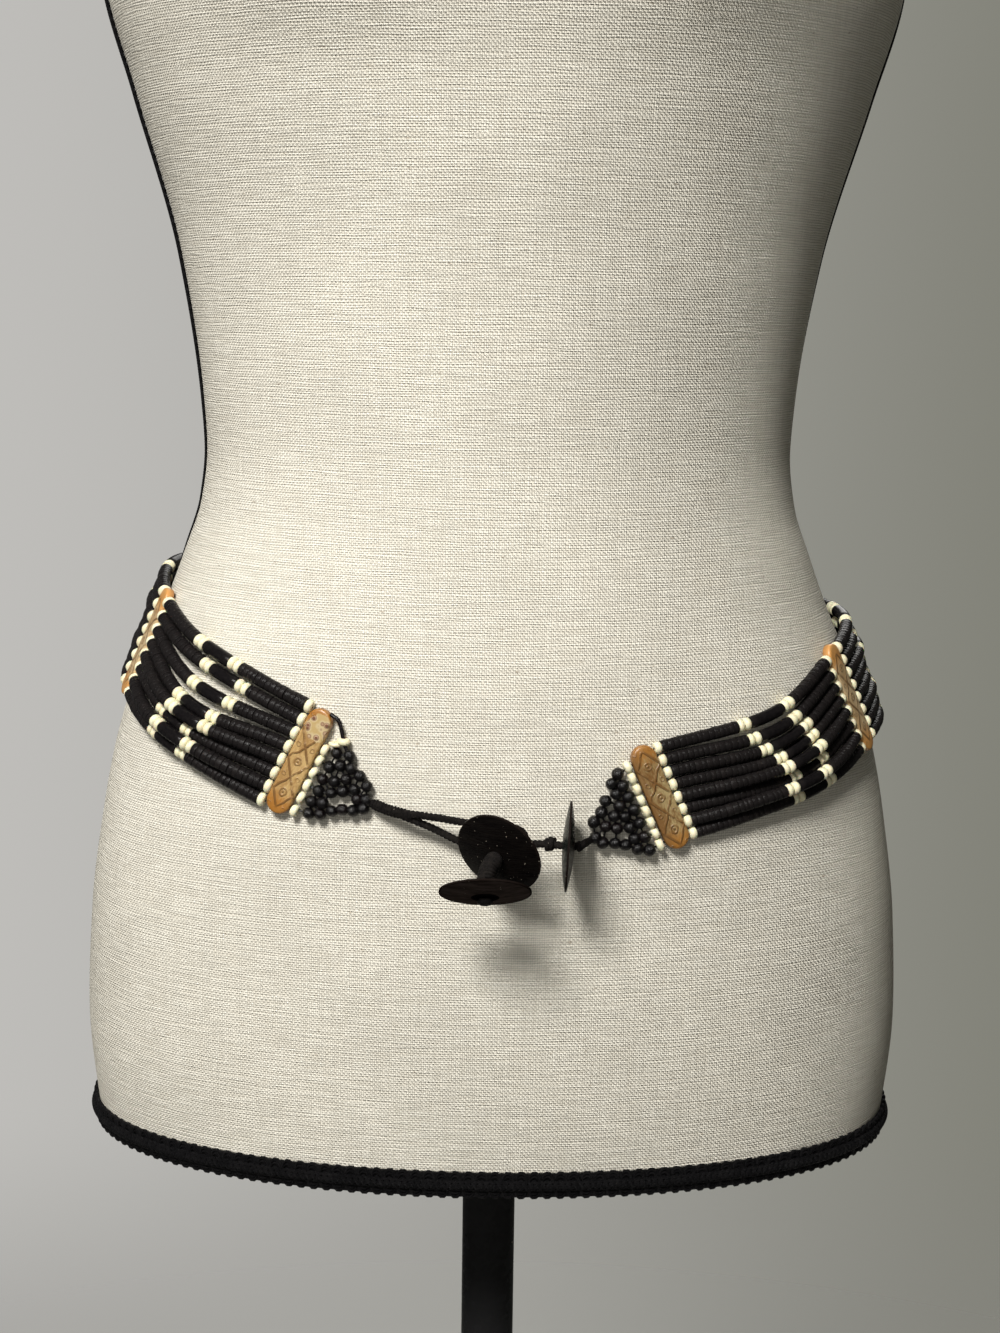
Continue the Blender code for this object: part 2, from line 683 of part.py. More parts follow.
def build_net(name, bar, net):
    """The cream row beside an end bar, and the net of black beads from it to the apex."""
    inward = net.side * (BAR_HALF_WIDTH + CREAM_ROW_OFFSET)
    rises = net_rises(net)
    cream = min(CREAM_BEAD_RADIUS, (rises[0] - rises[1]) / 2)
    points, radii = beaded([bar.point(inward, rise, 0.4 * MM) for rise in rises], cream, CREAM_NECK_RADIUS)
    tube(f"cream_row_{name}", points, [min(radius, CREAM_HALF_THICKNESS) for radius in radii], "cream_bead")
    top, bottom, apex = net_corners(bar, net)
    lift = NET_BEAD_RADIUS + DRAPE_GAP
    rows = []
    for row in range(NET_ROWS - 1):
        share = row / (NET_ROWS - 1)
        head, foot = top.lerp(apex, share), bottom.lerp(apex, share)
        beads = NET_ROWS - row
        spots = [on_form(head.lerp(foot, i / (beads - 1)), lift) for i in range(beads)]
        for run in bead_runs(beads, row, net.missing):
            run_points, run_radii = beaded([spots[i] for i in run], NET_BEAD_RADIUS, NET_LINK_RADIUS)
            rows.append(tube(f"row_{row}_{run[0]}", run_points, run_radii, "net_bead"))
    tip = [apex.lerp(top, TIP_REACH), apex, apex.lerp(bottom, -TIP_REACH)]
    rows.append(tube("tip", tip, [NET_LINK_RADIUS, NET_BEAD_RADIUS, NET_LINK_RADIUS], "net_bead"))
    for edge, corner in (("head", top), ("foot", bottom)):
        line = [on_form(corner.lerp(apex, i / 4), lift) for i in range(5)]
        rows.append(tube(edge, line, [NET_LINK_RADIUS] * 5, "net_bead"))
    united(f"net_{name}", rows, "net_bead")
    return apex


def placed(spot):
    """A point given from the form's axis and the hem, in the frame of the whole."""
    return Vector(spot) + Vector((0.0, 0.0, HEM_HEIGHT))


def build_discs():
    """Three lens-shaped discs with a hole through the middle, which share one mesh."""
    profile = ((DISC_HOLE_RADIUS, DISC_HALF_THICKNESS), (0.62 * DISC_RADIUS, 0.66 * DISC_HALF_THICKNESS),
               (DISC_RADIUS, DISC_RIM_HALF))
    profile = [*profile, *((radius, -height) for radius, height in reversed(profile))]
    rings = [circle(radius, height, DISC_SIDES) for radius, height in profile]
    shape = ring_solid("disc_shape", rings[::-1], "disc", looped=True)
    mesh = shape.data
    bpy.data.objects.remove(shape)
    for name, disc in DISCS.items():
        turn = Vector(disc.facing).to_track_quat("Z", "Y").to_matrix().to_4x4()
        add_object(f"disc_{name}", mesh, "disc").matrix_world = Matrix.Translation(placed(disc.centre)) @ turn


def curved(spots, steps):
    """Points on a smooth curve through the spots, with that many steps between neighbours."""
    spots = [2 * spots[0] - spots[1], *spots, 2 * spots[-1] - spots[-2]]
    points = []
    for a, b, c, d in zip(spots, spots[1:], spots[2:], spots[3:]):
        for i in range(steps):
            t = i / steps
            points.append(0.5 * (2 * b + (c - a) * t + (2 * a - 5 * b + 4 * c - d) * t**2
                                 + (3 * b - a - 3 * c + d) * t**3))
    return [*points, spots[-2]]


def build_loop_cord(apex):
    """The wrapped cord from the left net, which opens into the loop that hooks over the toggle."""
    start = apex + Vector((NET_BEAD_RADIUS + 2 * SEAM_GAP, -0.0004, -0.0010))
    split = placed((-0.0311, -0.0970, 0.1494))
    stem = curved([start, start.lerp(split, 0.5) + Vector((0.0, -0.0004, -0.0004)), split], 2)
    stem.append(split + (split - start).normalized() * 0.002)
    radii = [1.6 * MM, *[WRAPPED_CORD_RADIUS] * (len(stem) - 2), 1.2 * MM]
    upper_arm = [split, placed((-0.0204, -0.0998, 0.1492)), placed((-0.0091, -0.1010, 0.1477)),
                 placed((0.0006, -0.1018, 0.1470)), placed((0.0091, -0.1010, 0.1455)),
                 placed((0.0114, -0.0988, 0.1415)), placed((0.0076, -0.0970, 0.1380))]
    lower_arm = [placed((0.0096, -0.0978, 0.1395)), placed((0.0056, -0.0965, 0.1372)),
                 placed((-0.0044, -0.0964, 0.1373)), placed((-0.0130, -0.0968, 0.1402)),
                 placed((-0.0219, -0.0966, 0.1445)), split]
    pieces = [tube("stem", stem, radii, "cord")]
    for name, arm in (("upper_arm", upper_arm), ("lower_arm", lower_arm)):
        line = curved(arm, 2)
        pieces.append(tube(name, line, [CORD_RADIUS] * len(line), "cord"))
    united("loop_cord", pieces, "cord")


def build_toggle_cord(apex):
    """The cord from the right net through the edge disc and its knot to the upper disc."""
    start = apex + Vector((-NET_BEAD_RADIUS - 4 * SEAM_GAP, -0.0004, -0.0010))
    edge = placed(DISCS["edge"].centre)
    upper = placed(DISCS["upper"].centre)
    back = upper - Vector(DISCS["upper"].facing) * 1.0 * MM
    behind = upper - Vector(DISCS["upper"].facing) * 5.5 * MM
    spots = [start, edge + Vector((0.0040, 0.0010, 0.0)), edge, edge + Vector((-0.0036, 0.0, 0.0004)),
             placed((0.0202, -0.1077, 0.1422)), placed((0.0144, -0.1066, 0.1418)), behind, back]
    line = curved(spots, 2)
    radii = [CORD_RADIUS] * len(line)
    radii[0], radii[1] = 1.3 * MM, 2.0 * MM
    radii[7], radii[8], radii[9] = 2.2 * MM, KNOT_RADIUS, 1.8 * MM
    tube("toggle_cord", line, radii, "cord")


def build_toggle_stem():
    """The wrapped cord that holds the two toggle discs apart, and the knot outside the lower one."""
    upper, lower = DISCS["upper"], DISCS["lower"]
    face_up, face_low = Vector(upper.facing).normalized(), Vector(lower.facing).normalized()
    away = DISC_HALF_THICKNESS + SEAM_GAP
    first, last = placed(upper.centre) + face_up * away, placed(lower.centre) - face_low * away
    bend = (last - first).length / 3
    controls = [first, first + face_up * bend, last - face_low * bend, last]
    line = []
    for i in range(7):
        t = i / 6
        weights = ((1 - t) ** 3, 3 * t * (1 - t) ** 2, 3 * t * t * (1 - t), t**3)
        line.append(sum((w * c for w, c in zip(weights, controls)), Vector()))
    radii = [STEM_RADIUS * 0.8, *[STEM_RADIUS] * 5, STEM_RADIUS * 0.8]
    tube("toggle_stem", line, radii, "cord", bevel_steps=2)
    foot = placed(lower.centre) + face_low * away
    knot = [foot + face_low * height * MM for height in (0.0, 1.1, 2.4)]
    tube("end_knot", knot, [2.2 * MM, 2.8 * MM, 1.2 * MM], "cord", bevel_steps=2)


def main():
    """Builds the stand, the form, the belt and its fastening."""
    clear_scene()
    build_stand()
    build_form()
    build_hem_braid()
    build_seam_braids()
    path = BeltPath()
    lengths = bar_lengths(path)
    bars = [Bar(path, length, row) for length, row in zip(lengths, BARS)]
    for i, bar in enumerate(bars):
        build_bar(f"bar_{i + 1}", bar)
    build_strings(path, bars, lengths)
    left = build_net("left", bars[NETS["left"].bar], NETS["left"])
    right = build_net("right", bars[NETS["right"].bar], NETS["right"])
    build_discs()
    build_loop_cord(left)
    build_toggle_cord(right)
    build_toggle_stem()


if __name__ == "__main__":
    main()
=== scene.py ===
"""The looks of the beaded belt and of the linen dress form that wears it.

Every disc bead, rondelle and round bead is made one by one and threaded on the lines that the solids
give. The form gets its woven cover, its scroll braid and its turned stand.
"""

import json
import logging
import math
from bisect import bisect_right
from collections.abc import Callable, Sequence
from dataclasses import dataclass, field
from enum import Enum

import bpy
import numpy as np
from mathutils import Matrix, Vector

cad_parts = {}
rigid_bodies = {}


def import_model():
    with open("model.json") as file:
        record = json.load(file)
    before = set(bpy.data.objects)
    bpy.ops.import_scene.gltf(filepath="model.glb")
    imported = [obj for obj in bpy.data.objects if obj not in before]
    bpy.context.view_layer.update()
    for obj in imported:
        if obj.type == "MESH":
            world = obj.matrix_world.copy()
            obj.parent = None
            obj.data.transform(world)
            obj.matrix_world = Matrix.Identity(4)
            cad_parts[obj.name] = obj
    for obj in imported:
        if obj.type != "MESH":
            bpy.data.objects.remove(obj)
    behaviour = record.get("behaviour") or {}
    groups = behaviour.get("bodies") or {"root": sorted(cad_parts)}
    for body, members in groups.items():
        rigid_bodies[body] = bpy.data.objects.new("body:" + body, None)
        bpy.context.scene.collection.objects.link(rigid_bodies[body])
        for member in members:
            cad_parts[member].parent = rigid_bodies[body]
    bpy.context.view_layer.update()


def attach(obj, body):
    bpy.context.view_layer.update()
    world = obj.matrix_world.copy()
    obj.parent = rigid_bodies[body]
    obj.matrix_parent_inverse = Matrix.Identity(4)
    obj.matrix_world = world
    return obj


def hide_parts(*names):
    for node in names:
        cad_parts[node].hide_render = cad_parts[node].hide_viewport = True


MM = 0.001
HEM_HEIGHT = 0.770
SEAM_GAP = 0.3 * MM
DRAPE_GAP = 0.7 * MM

LOG = logging.getLogger("beaded belt")

Colour = tuple[float, float, float]
Triple = tuple[float, float, float]
Pair = tuple[float, float]
Array = np.ndarray
Material = bpy.types.Material


class Slot(Enum):
    """The record's material slots."""

    LINEN = "linen"
    BRAID = "braid"
    STAND = "stand_metal"
    BONE = "bone"
    DISC_BEAD = "disc_bead"
    CREAM_BEAD = "cream_bead"
    NET_BEAD = "net_bead"
    CORD = "cord"
    DISC = "disc"


class Side(Enum):
    """The two ends of the belt, as a front view shows them."""

    LEFT = "left"
    RIGHT = "right"


# Shader nodes


class Wire:
    """A value in a shader, with which sums are written as they are with numbers."""

    def __init__(self, bench: "Bench", socket: bpy.types.NodeSocket) -> None:
        self.bench, self.socket = bench, socket

    def __add__(self, other: "Feed") -> "Wire":
        """This value plus another."""
        return self.bench.sum("ADD", self, other)

    def __sub__(self, other: "Feed") -> "Wire":
        """This value less another."""
        return self.bench.sum("SUBTRACT", self, other)

    def __rsub__(self, other: float) -> "Wire":
        """A number less this value."""
        return self.bench.sum("SUBTRACT", other, self)

    def __mul__(self, other: "Feed") -> "Wire":
        """This value times another."""
        return self.bench.sum("MULTIPLY", self, other)

    def __abs__(self) -> "Wire":
        """This value without its sign."""
        return self.bench.sum("ABSOLUTE", self)


Feed = float | tuple | Wire
Feeds = dict[str | int, Feed]
Wires = dict[str, Wire]
Looks = dict[str, Feed]


class Bench:
    """Makes and joins the nodes of one material or effect."""

    def __init__(self, tree: bpy.types.NodeTree) -> None:
        self.tree = tree
        self.count = 0

    def feed(self, socket: bpy.types.NodeSocket, value: Feed) -> None:
        """Gives a socket a fixed value, or a link from a wire.

        Args:
            socket: The socket that takes the value.
            value: A number, a colour, a vector or a wire.
        """
        if isinstance(value, Wire):
            self.tree.links.new(value.socket, socket)
        elif socket.type == "RGBA" and len(value) == 3:
            socket.default_value = (*value, 1.0)
        else:
            socket.default_value = value

    def node(self, kind: str, feeds: Feeds | None = None, **settings: object) -> bpy.types.Node:
        """Adds a node.

        Args:
            kind: Blender's name for the kind of node.
            feeds: What its inputs get, by name or number.
            settings: The node's own properties.

        Returns:
            The new node.
        """
        made = self.tree.nodes.new(kind)
        made.location = (self.count % 10 * 200.0, -(self.count // 10) * 280.0)
        self.count += 1
        for key, value in settings.items():
            setattr(made, key, value)
        for key, value in (feeds or {}).items():
            self.feed(made.inputs[key], value)
        return made

    def wire(self, kind: str, feeds: Feeds | None = None, output: str | int = 0, **settings: object) -> Wire:
        """Adds a node of which only one output is used, and gives that output."""
        return Wire(self, self.node(kind, feeds, **settings).outputs[output])

    def sum(self, operation: str, *values: Feed) -> Wire:
        """The operation done on one value or more."""
        return self.wire("ShaderNodeMath", dict(enumerate(values)), operation=operation)

    def mix(self, share: Feed, first: Feed, second: Feed, blend: str = "MIX") -> Wire:
        """A colour between two others."""
        feeds = {0: share, 6: first, 7: second}
        return self.wire("ShaderNodeMix", feeds, 2, data_type="RGBA", blend_type=blend)

    def ease(self, value: Feed, low: float, high: float, start: Feed = 0.0, stop: Feed = 1.0) -> Wire:
        """A value brought smoothly from one range to another, and held at its ends."""
        feeds = {0: value, 1: low, 2: high, 3: start, 4: stop}
        return self.wire("ShaderNodeMapRange", feeds, interpolation_type="SMOOTHSTEP")

    def noise(self, where: Feed, scale: Feed, detail: float = 3.0, rough: float = 0.55) -> Wire:
        """Cloudy noise from 0 to 1."""
        feeds = {"Vector": where, "Scale": scale, "Detail": detail, "Roughness": rough}
        return self.wire("ShaderNodeTexNoise", feeds)

    def cells(self, where: Feed, scale: Feed) -> tuple[Wire, Wire]:
        """How far off the nearest of scattered points is, and that point's own colour."""
        found = self.node("ShaderNodeTexVoronoi", {"Vector": where, "Scale": scale}).outputs
        return Wire(self, found["Distance"]), Wire(self, found["Color"])

    def stretched(self, where: Feed, *scale: float) -> Wire:
        """Coordinates scaled along each way."""
        return self.wire("ShaderNodeVectorMath", {0: where, 1: scale}, operation="MULTIPLY")

    def split(self, where: Feed) -> tuple[Wire, ...]:
        """The three parts of a vector."""
        return tuple(Wire(self, part) for part in self.node("ShaderNodeSeparateXYZ", {0: where}).outputs)

    def reach(self, across: Wire, along: Wire) -> Wire:
        """How far a point lies from the middle, from how far it lies each way."""
        return self.sum("SQRT", across * across + along * along)

    def laid(self) -> Wire:
        """Where a point lies on its piece, in millimetres, as its mesh says."""
        return self.wire("ShaderNodeAttribute", None, "Vector", attribute_name="lay")

    def tint(self) -> Wire:
        """The number from 0 to 1 that each bead or strand has for its own."""
        return self.wire("ShaderNodeAttribute", None, "Fac", attribute_name="tint")

    def placed(self) -> Wire:
        """The point of the object itself, in metres."""
        return self.wire("ShaderNodeTexCoord", None, "Object")

    def bump(self, height: Feed, distance: float, strength: float = 1.0) -> Wire:
        """A normal that follows a height, which is 1 at the distance given in metres."""
        return self.wire("ShaderNodeBump", {"Height": height, "Distance": distance, "Strength": strength})


@dataclass(frozen=True)
class Effect:
    """A shader node group that several finishes place, each with its own values.

    What it takes is said by kind, or by the number that it starts at. Its drawing takes the group's bench
    and its inputs by name, and gives its outputs by name.
    """

    name: str
    takes: dict[str, str | float]
    gives: dict[str, str]
    draw: Callable[[Bench, Wires], Wires]

    def group(self) -> bpy.types.NodeTree:
        """Builds the group once.

        Returns:
            The node group.
        """
        found = bpy.data.node_groups.get(self.name)
        if found:
            return found
        tree = bpy.data.node_groups.new(self.name, "ShaderNodeTree")
        for name, start in self.takes.items():
            kind = start if isinstance(start, str) else "Float"
            socket = tree.interface.new_socket(name, in_out="INPUT", socket_type=f"NodeSocket{kind}")
            if kind == "Float":
                socket.default_value = start
        for name, kind in self.gives.items():
            tree.interface.new_socket(name, in_out="OUTPUT", socket_type=f"NodeSocket{kind}")
        bench = Bench(tree)
        entry, leave = bench.node("NodeGroupInput"), bench.node("NodeGroupOutput")
        takes = {name: Wire(bench, entry.outputs[name]) for name in self.takes}
        for name, value in self.draw(bench, takes).items():
            bench.feed(leave.inputs[name], value)
        return tree

    def place(self, bench: Bench, **feeds: Feed) -> Wires:
        """Places the group in a material.

        Args:
            bench: The material's nodes.
            feeds: What its inputs get, by their names in small letters.

        Returns:
            Its outputs by name.
        """
        named = {name.capitalize(): value for name, value in feeds.items()}
        node = bench.node("ShaderNodeGroup", named, node_tree=self.group())
        return {name: Wire(bench, node.outputs[name]) for name in self.gives}


def draw_weave(bench: Bench, takes: Wires) -> Wires:
    """A plain weave with uneven threads: its height, a mask of the gaps between threads, where the finish
    paints shade, and the slubs.
    """
    where = takes["Lay"]
    sway = bench.noise(bench.stretched(where, 0.05, 0.22, 0.0), 1.0, 2.0)
    rise = bench.noise(bench.stretched(where, 0.22, 0.05, 0.0), 1.0, 2.0)
    across, along, _ = bench.split(where)
    weft = bench.sum("SINE", (sway * 1.4 + along) * takes["Weft"])
    warp = bench.sum("SINE", (rise * 1.4 + across) * takes["Warp"])
    over = bench.sum("GREATER_THAN", weft * warp, 0.0)
    weft_rise, warp_rise = abs(weft), abs(warp)
    streaks = bench.noise(bench.stretched(where, 0.055, 1.15, 0.0), 1.0, 2.0, 0.6)
    uprights = bench.noise(bench.stretched(where, 1.05, 0.05, 0.0), 1.0, 2.0, 0.6)
    slub = (uprights - 0.5) * 0.55 + streaks
    body = bench.wire("ShaderNodeMix", {0: over, 2: warp_rise * 0.85, 3: weft_rise})
    between_weft = bench.ease(weft_rise, 0.0, 0.62, 1.0, 0.0)
    between_warp = bench.ease(warp_rise, 0.0, 0.55, 1.0, 0.0)
    gap = bench.sum("MAXIMUM", between_weft * 0.58, between_warp * 0.30)
    return {"Height": bench.ease(slub, 0.35, 0.75) * takes["Slub"] + body,
            "Gap": between_weft * between_warp * 0.42 + gap, "Slub": bench.ease(slub, 0.36, 0.64)}


WEAVE = Effect("plain weave", {"Lay": "Vector", "Warp": 4.4, "Weft": 3.9, "Slub": 0.5},
               {"Height": "Float", "Gap": "Float", "Slub": "Float"}, draw_weave)


def draw_mottle(bench: Bench, takes: Wires) -> Wires:
    """Uneven colour in soft clouds, with a finer grain on top."""
    fine = bench.noise(takes["Lay"], takes["Scale"] * 6.0, 2.0)
    clouds = bench.ease((fine - 0.5) * 0.5 + bench.noise(takes["Lay"], takes["Scale"], 3.0), 0.3, 0.72)
    return {"Colour": bench.mix(clouds, takes["First"], takes["Second"]), "Clouds": clouds, "Grain": fine}


MOTTLE = Effect("mottled body", {"Lay": "Vector", "Scale": 1.0, "First": "Color", "Second": "Color"},
                {"Colour": "Color", "Clouds": "Float", "Grain": "Float"}, draw_mottle)


def draw_dust(bench: Bench, takes: Wires) -> Wires:
    """Pale specks and a thin film that lie on dark pieces."""
    distance, own = bench.cells(takes["Lay"], takes["Scale"])
    size, chance, _ = bench.split(own)
    chosen = bench.sum("GREATER_THAN", chance, 1.0 - takes["Amount"])
    speck = bench.sum("LESS_THAN", distance, size * 0.16) * chosen
    film = bench.ease(bench.noise(takes["Lay"], 0.35, 4.0), 0.42, 0.75) * takes["Film"]
    return {"Colour": bench.mix(bench.sum("MAXIMUM", speck * 0.8, film), takes["Colour"], (0.42, 0.37, 0.30))}


DUST = Effect("dust", {"Lay": "Vector", "Colour": "Color", "Scale": 0.8, "Amount": 0.3, "Film": 0.02},
              {"Colour": "Color"}, draw_dust)


def draw_strands(bench: Bench, takes: Wires) -> Wires:
    """Fine fibres that run round and along a cord at a slant."""
    along, around, _ = bench.split(takes["Lay"])
    lines = abs(bench.sum("SINE", (around * takes["Slant"] + along) * takes["Fineness"]))
    fuzz = bench.noise(takes["Lay"], 5.0, 3.0, 0.7)
    return {"Height": fuzz * 0.6 + lines, "Fuzz": bench.ease(fuzz, 0.45, 0.8)}


STRANDS = Effect("twisted fibres", {"Lay": "Vector", "Slant": 1.0, "Fineness": 8.0},
                 {"Height": "Float", "Fuzz": "Float"}, draw_strands)


def draw_engraving(bench: Bench, takes: Wires) -> Wires:
    """Crossed lines with a ringed dot in each lozenge and small rings between them."""
    across, along, _ = bench.split(takes["Lay"])
    extent = bench.ease(abs(along), 17.5, 20.0, 1.0, 0.0)
    waver = bench.noise(takes["Lay"], 0.22, 1.0) - 0.5
    across, along = waver * 1.2 + across, waver * 1.8 + along
    length = takes["Lozenge"]
    zigzag = bench.sum("DIVIDE", bench.sum("PINGPONG", along, length), length)
    zigzag = (zigzag * 2.0 - 1.0) * takes["Reach"]
    lines = bench.ease(bench.sum("MINIMUM", abs(across - zigzag), abs(across + zigzag)), 0.26, 0.74, 1.0, 0.0)
    half, low = length * 0.5, length * -0.5
    middle = bench.reach(across, bench.sum("WRAP", along, half, low))
    ring = bench.ease(abs(middle - 1.35), 0.16, 0.50, 1.0, 0.0)
    dot = bench.ease(middle, 0.3, 0.7, 1.0, 0.0)
    outer = bench.reach(abs(across) - 3.0, bench.sum("WRAP", along + half, half, low))
    small = bench.ease(abs(outer - 0.75), 0.1, 0.34, 1.0, 0.0)
    rings = bench.sum("MAXIMUM", bench.sum("MAXIMUM", ring, dot), small * 0.7)
    worn = bench.ease(bench.noise(takes["Lay"], 0.25, 3.0), 0.34, 0.52, takes["Worn"], 1.0)
    return {"Marks": bench.sum("MAXIMUM", lines, rings * 0.75) * worn * extent}


ENGRAVING = Effect("engraved lozenges", {"Lay": "Vector", "Lozenge": 12.5, "Reach": 4.3, "Worn": 0.25},
                   {"Marks": "Float"}, draw_engraving)


def draw_rub_and_glint(bench: Bench, takes: Wires) -> Wires:
    """Rubbed places, which some finishes also use for painted highlights: edges that the mesh stands proud
    at, broken up by noise.
    """
    proud = bench.wire("ShaderNodeNewGeometry", None, "Pointiness")
    broken = (bench.noise(takes["Lay"], 0.9, 3.0) - 0.5) * 0.08 + proud
    return {"Mask": bench.ease(broken, 0.505, 0.56) * takes["Amount"]}


RUB_AND_GLINT = Effect("rubbed edges and painted glints", {"Lay": "Vector", "Amount": 0.5}, {"Mask": "Float"}, draw_rub_and_glint)


# Finishes


@dataclass(frozen=True)
class Finish:
    """A material, with its name and the colour that it has in a plain view."""

    name: str
    colour: Colour

    def looks(self, bench: Bench) -> Looks:
        """Draws what the shader's sockets take, which each finish does in its own way.

        Args:
            bench: The material's nodes.

        Returns:
            What each socket takes, by its name.
        """
        raise NotImplementedError

    def material(self) -> Material:
        """Builds the material.

        Returns:
            The material.
        """
        made = bpy.data.materials.new(self.name)
        made.use_nodes = True
        made.diffuse_color = (*self.colour, 1.0)
        bench, shader = Bench(made.node_tree), made.node_tree.nodes["Principled BSDF"]
        for name, value in {"Base Color": self.colour, **self.looks(bench)}.items():
            bench.feed(shader.inputs[name], value)
        return made


@dataclass(frozen=True)
class LinenFinish(Finish):
    """Natural linen, plain woven and slubby, pulled tight over the form."""

    name: str = "natural_linen"
    colour: Colour = (0.87, 0.83, 0.725)
    thin: Colour = (0.77, 0.725, 0.62)
    # The colour of the painted shade in the gaps between threads.
    dark: Colour = (0.25, 0.23, 0.18)
    fleck: Colour = (0.25, 0.18, 0.11)
    warp_pitch: float = 0.80
    weft_pitch: float = 0.88

    def looks(self, bench: Bench) -> Looks:
        """Threads with painted shade in the gaps between them, cloudy, with a few brown flecks."""
        where = bench.laid()
        weave = WEAVE.place(bench, lay=where, warp=math.pi / self.warp_pitch,
                            weft=math.pi / self.weft_pitch, slub=0.7)
        # The gaps between threads take the painted shade colour.
        woven = bench.mix(weave["Gap"], bench.mix(weave["Slub"], self.thin, self.colour), self.dark)
        clouds = bench.ease(bench.noise(where, 0.012, 3.0), 0.3, 0.7, 0.94, 1.03)
        shade = bench.wire("ShaderNodeCombineColor", {0: clouds, 1: clouds, 2: clouds})
        flecks = bench.ease(bench.noise(bench.stretched(where, 0.30, 0.85, 0.0), 1.0, 2.0), 0.685, 0.74)
        return {"Base Color": bench.mix(flecks * 0.55, bench.mix(1.0, woven, shade, "MULTIPLY"), self.fleck),
                "Roughness": 0.92, "Specular IOR Level": 0.2, "Normal": bench.bump(weave["Height"], 0.00021)}


@dataclass(frozen=True)
class BraidFinish(Finish):
    """Black rayon cord of the scroll braid."""

    name: str = "black_braid"
    colour: Colour = (0.004, 0.004, 0.0045)

    def looks(self, bench: Bench) -> Looks:
        """Slanting fibres, duller where they fuzz."""
        where = bench.laid()
        fibres = STRANDS.place(bench, lay=where, slant=0.8, fineness=9.0)
        body = MOTTLE.place(bench, lay=where, scale=0.12, first=self.colour, second=(0.010, 0.0095, 0.010))
        return {"Base Color": bench.mix(fibres["Fuzz"], body["Colour"], (0.020, 0.019, 0.020)),
                "Roughness": bench.ease(fibres["Fuzz"], 0.0, 1.0, 0.42, 0.75), "Specular IOR Level": 0.06,
                "Normal": bench.bump(fibres["Height"], 0.00012, 0.8)}


@dataclass(frozen=True)
class CordFinish(Finish):
    """Black waxed cotton, twisted or wrapped."""

    name: str = "waxed_cord"
    colour: Colour = (0.005, 0.0045, 0.005)
    fineness: float = 7.0

    def looks(self, bench: Bench) -> Looks:
        """Slanting fibres with fuzz, wax and a little dust."""
        where = bench.laid()
        fibres = STRANDS.place(bench, lay=where, slant=1.1, fineness=self.fineness)
        body = MOTTLE.place(bench, lay=where, scale=0.4, first=self.colour, second=(0.013, 0.011, 0.010))
        fuzzy = bench.mix(fibres["Fuzz"], body["Colour"], (0.032, 0.028, 0.025))
        dusted = DUST.place(bench, lay=where, colour=fuzzy, scale=1.2, amount=0.10, film=0.012)
        return {"Base Color": dusted["Colour"], "Roughness": bench.ease(fibres["Fuzz"], 0.0, 1.0, 0.62, 0.9),
                "Specular IOR Level": 0.05, "Normal": bench.bump(fibres["Height"], 0.00016, 0.9)}


@dataclass(frozen=True)
class DiscBeadFinish(Finish):
    """Dyed disc beads: satin faces, rims lighter from rubbing and from a painted highlight, each a little
    different.
    """

    name: str = "black_disc_beads"
    colour: Colour = (0.0035, 0.003, 0.0035)
    # The rims' lighter colour, partly rubbed dye and partly a painted highlight.
    worn: Colour = (0.045, 0.038, 0.035)

    def looks(self, bench: Bench) -> Looks:
        """A dark body whose tone and sheen are each bead's own, with lighter rims that are partly rubbed and
        partly a painted highlight, and dusted.
        """
        where, tint = bench.laid(), bench.tint()
        own = bench.mix(bench.ease(tint, 0.7, 1.0), self.colour, (0.008, 0.006, 0.006))
        body = MOTTLE.place(bench, lay=where, scale=0.55, first=own, second=(0.005, 0.0045, 0.005))
        # Proud rims lightened: partly rubbing, partly a painted rim highlight.
        rubbed = bench.mix(RUB_AND_GLINT.place(bench, lay=where, amount=0.16)["Mask"], body["Colour"], self.worn)
        dusted = DUST.place(bench, lay=where, colour=rubbed, scale=0.9, amount=0.10, film=0.002)
        sheen = bench.ease(tint, 0.0, 1.0, 0.15, 0.30)
        return {"Base Color": dusted["Colour"], "Roughness": (body["Grain"] - 0.5) * 0.25 + sheen,
                "Specular IOR Level": 0.09, "Normal": bench.bump(body["Grain"], 0.00008, 0.6)}


@dataclass(frozen=True)
class CreamBeadFinish(Finish):
    """Cream rondelles, satin, a little browned round their holes."""

    name: str = "cream_rondelles"
    colour: Colour = (0.77, 0.72, 0.47)
    aged: Colour = (0.66, 0.57, 0.32)

    def looks(self, bench: Bench) -> Looks:
        """A body that is yellower on some beads, with brown holes."""
        where = bench.laid()
        own = bench.mix(bench.ease(bench.tint(), 0.2, 1.0, 0.0, 0.75), self.colour, self.aged)
        body = MOTTLE.place(bench, lay=where, scale=0.6, first=own, second=(0.89, 0.85, 0.63))
        hole = bench.ease(bench.split(where)[2], 0.5, 1.15, 0.8, 0.0)
        return {"Base Color": bench.mix(hole, body["Colour"], (0.20, 0.13, 0.06)),
                "Subsurface Weight": 0.08, "Subsurface Scale": 0.001,
                "Roughness": bench.ease(body["Grain"], 0.3, 0.7, 0.34, 0.52),
                "Normal": bench.bump(body["Grain"], 0.00006, 0.5)}


@dataclass(frozen=True)
class NetBeadFinish(Finish):
    """Round gloss-black beads."""

    name: str = "round_black_beads"
    colour: Colour = (0.003, 0.0025, 0.0025)

    def looks(self, bench: Bench) -> Looks:
        """A coated dark body, a little brown on some beads."""
        where = bench.laid()
        own = bench.mix(bench.ease(bench.tint(), 0.6, 1.0), self.colour, (0.006, 0.003, 0.003))
        body = MOTTLE.place(bench, lay=where, scale=0.5, first=own, second=(0.003, 0.0025, 0.003))
        dusted = DUST.place(bench, lay=where, colour=body["Colour"], scale=0.9, amount=0.08, film=0.001)
        return {"Base Color": dusted["Colour"], "Coat Weight": 0.14, "Coat Roughness": 0.14,
                "Specular IOR Level": 0.25, "Roughness": bench.ease(body["Clouds"], 0.0, 1.0, 0.18, 0.30),
                "Normal": bench.bump(body["Clouds"], 0.00010, 0.4)}


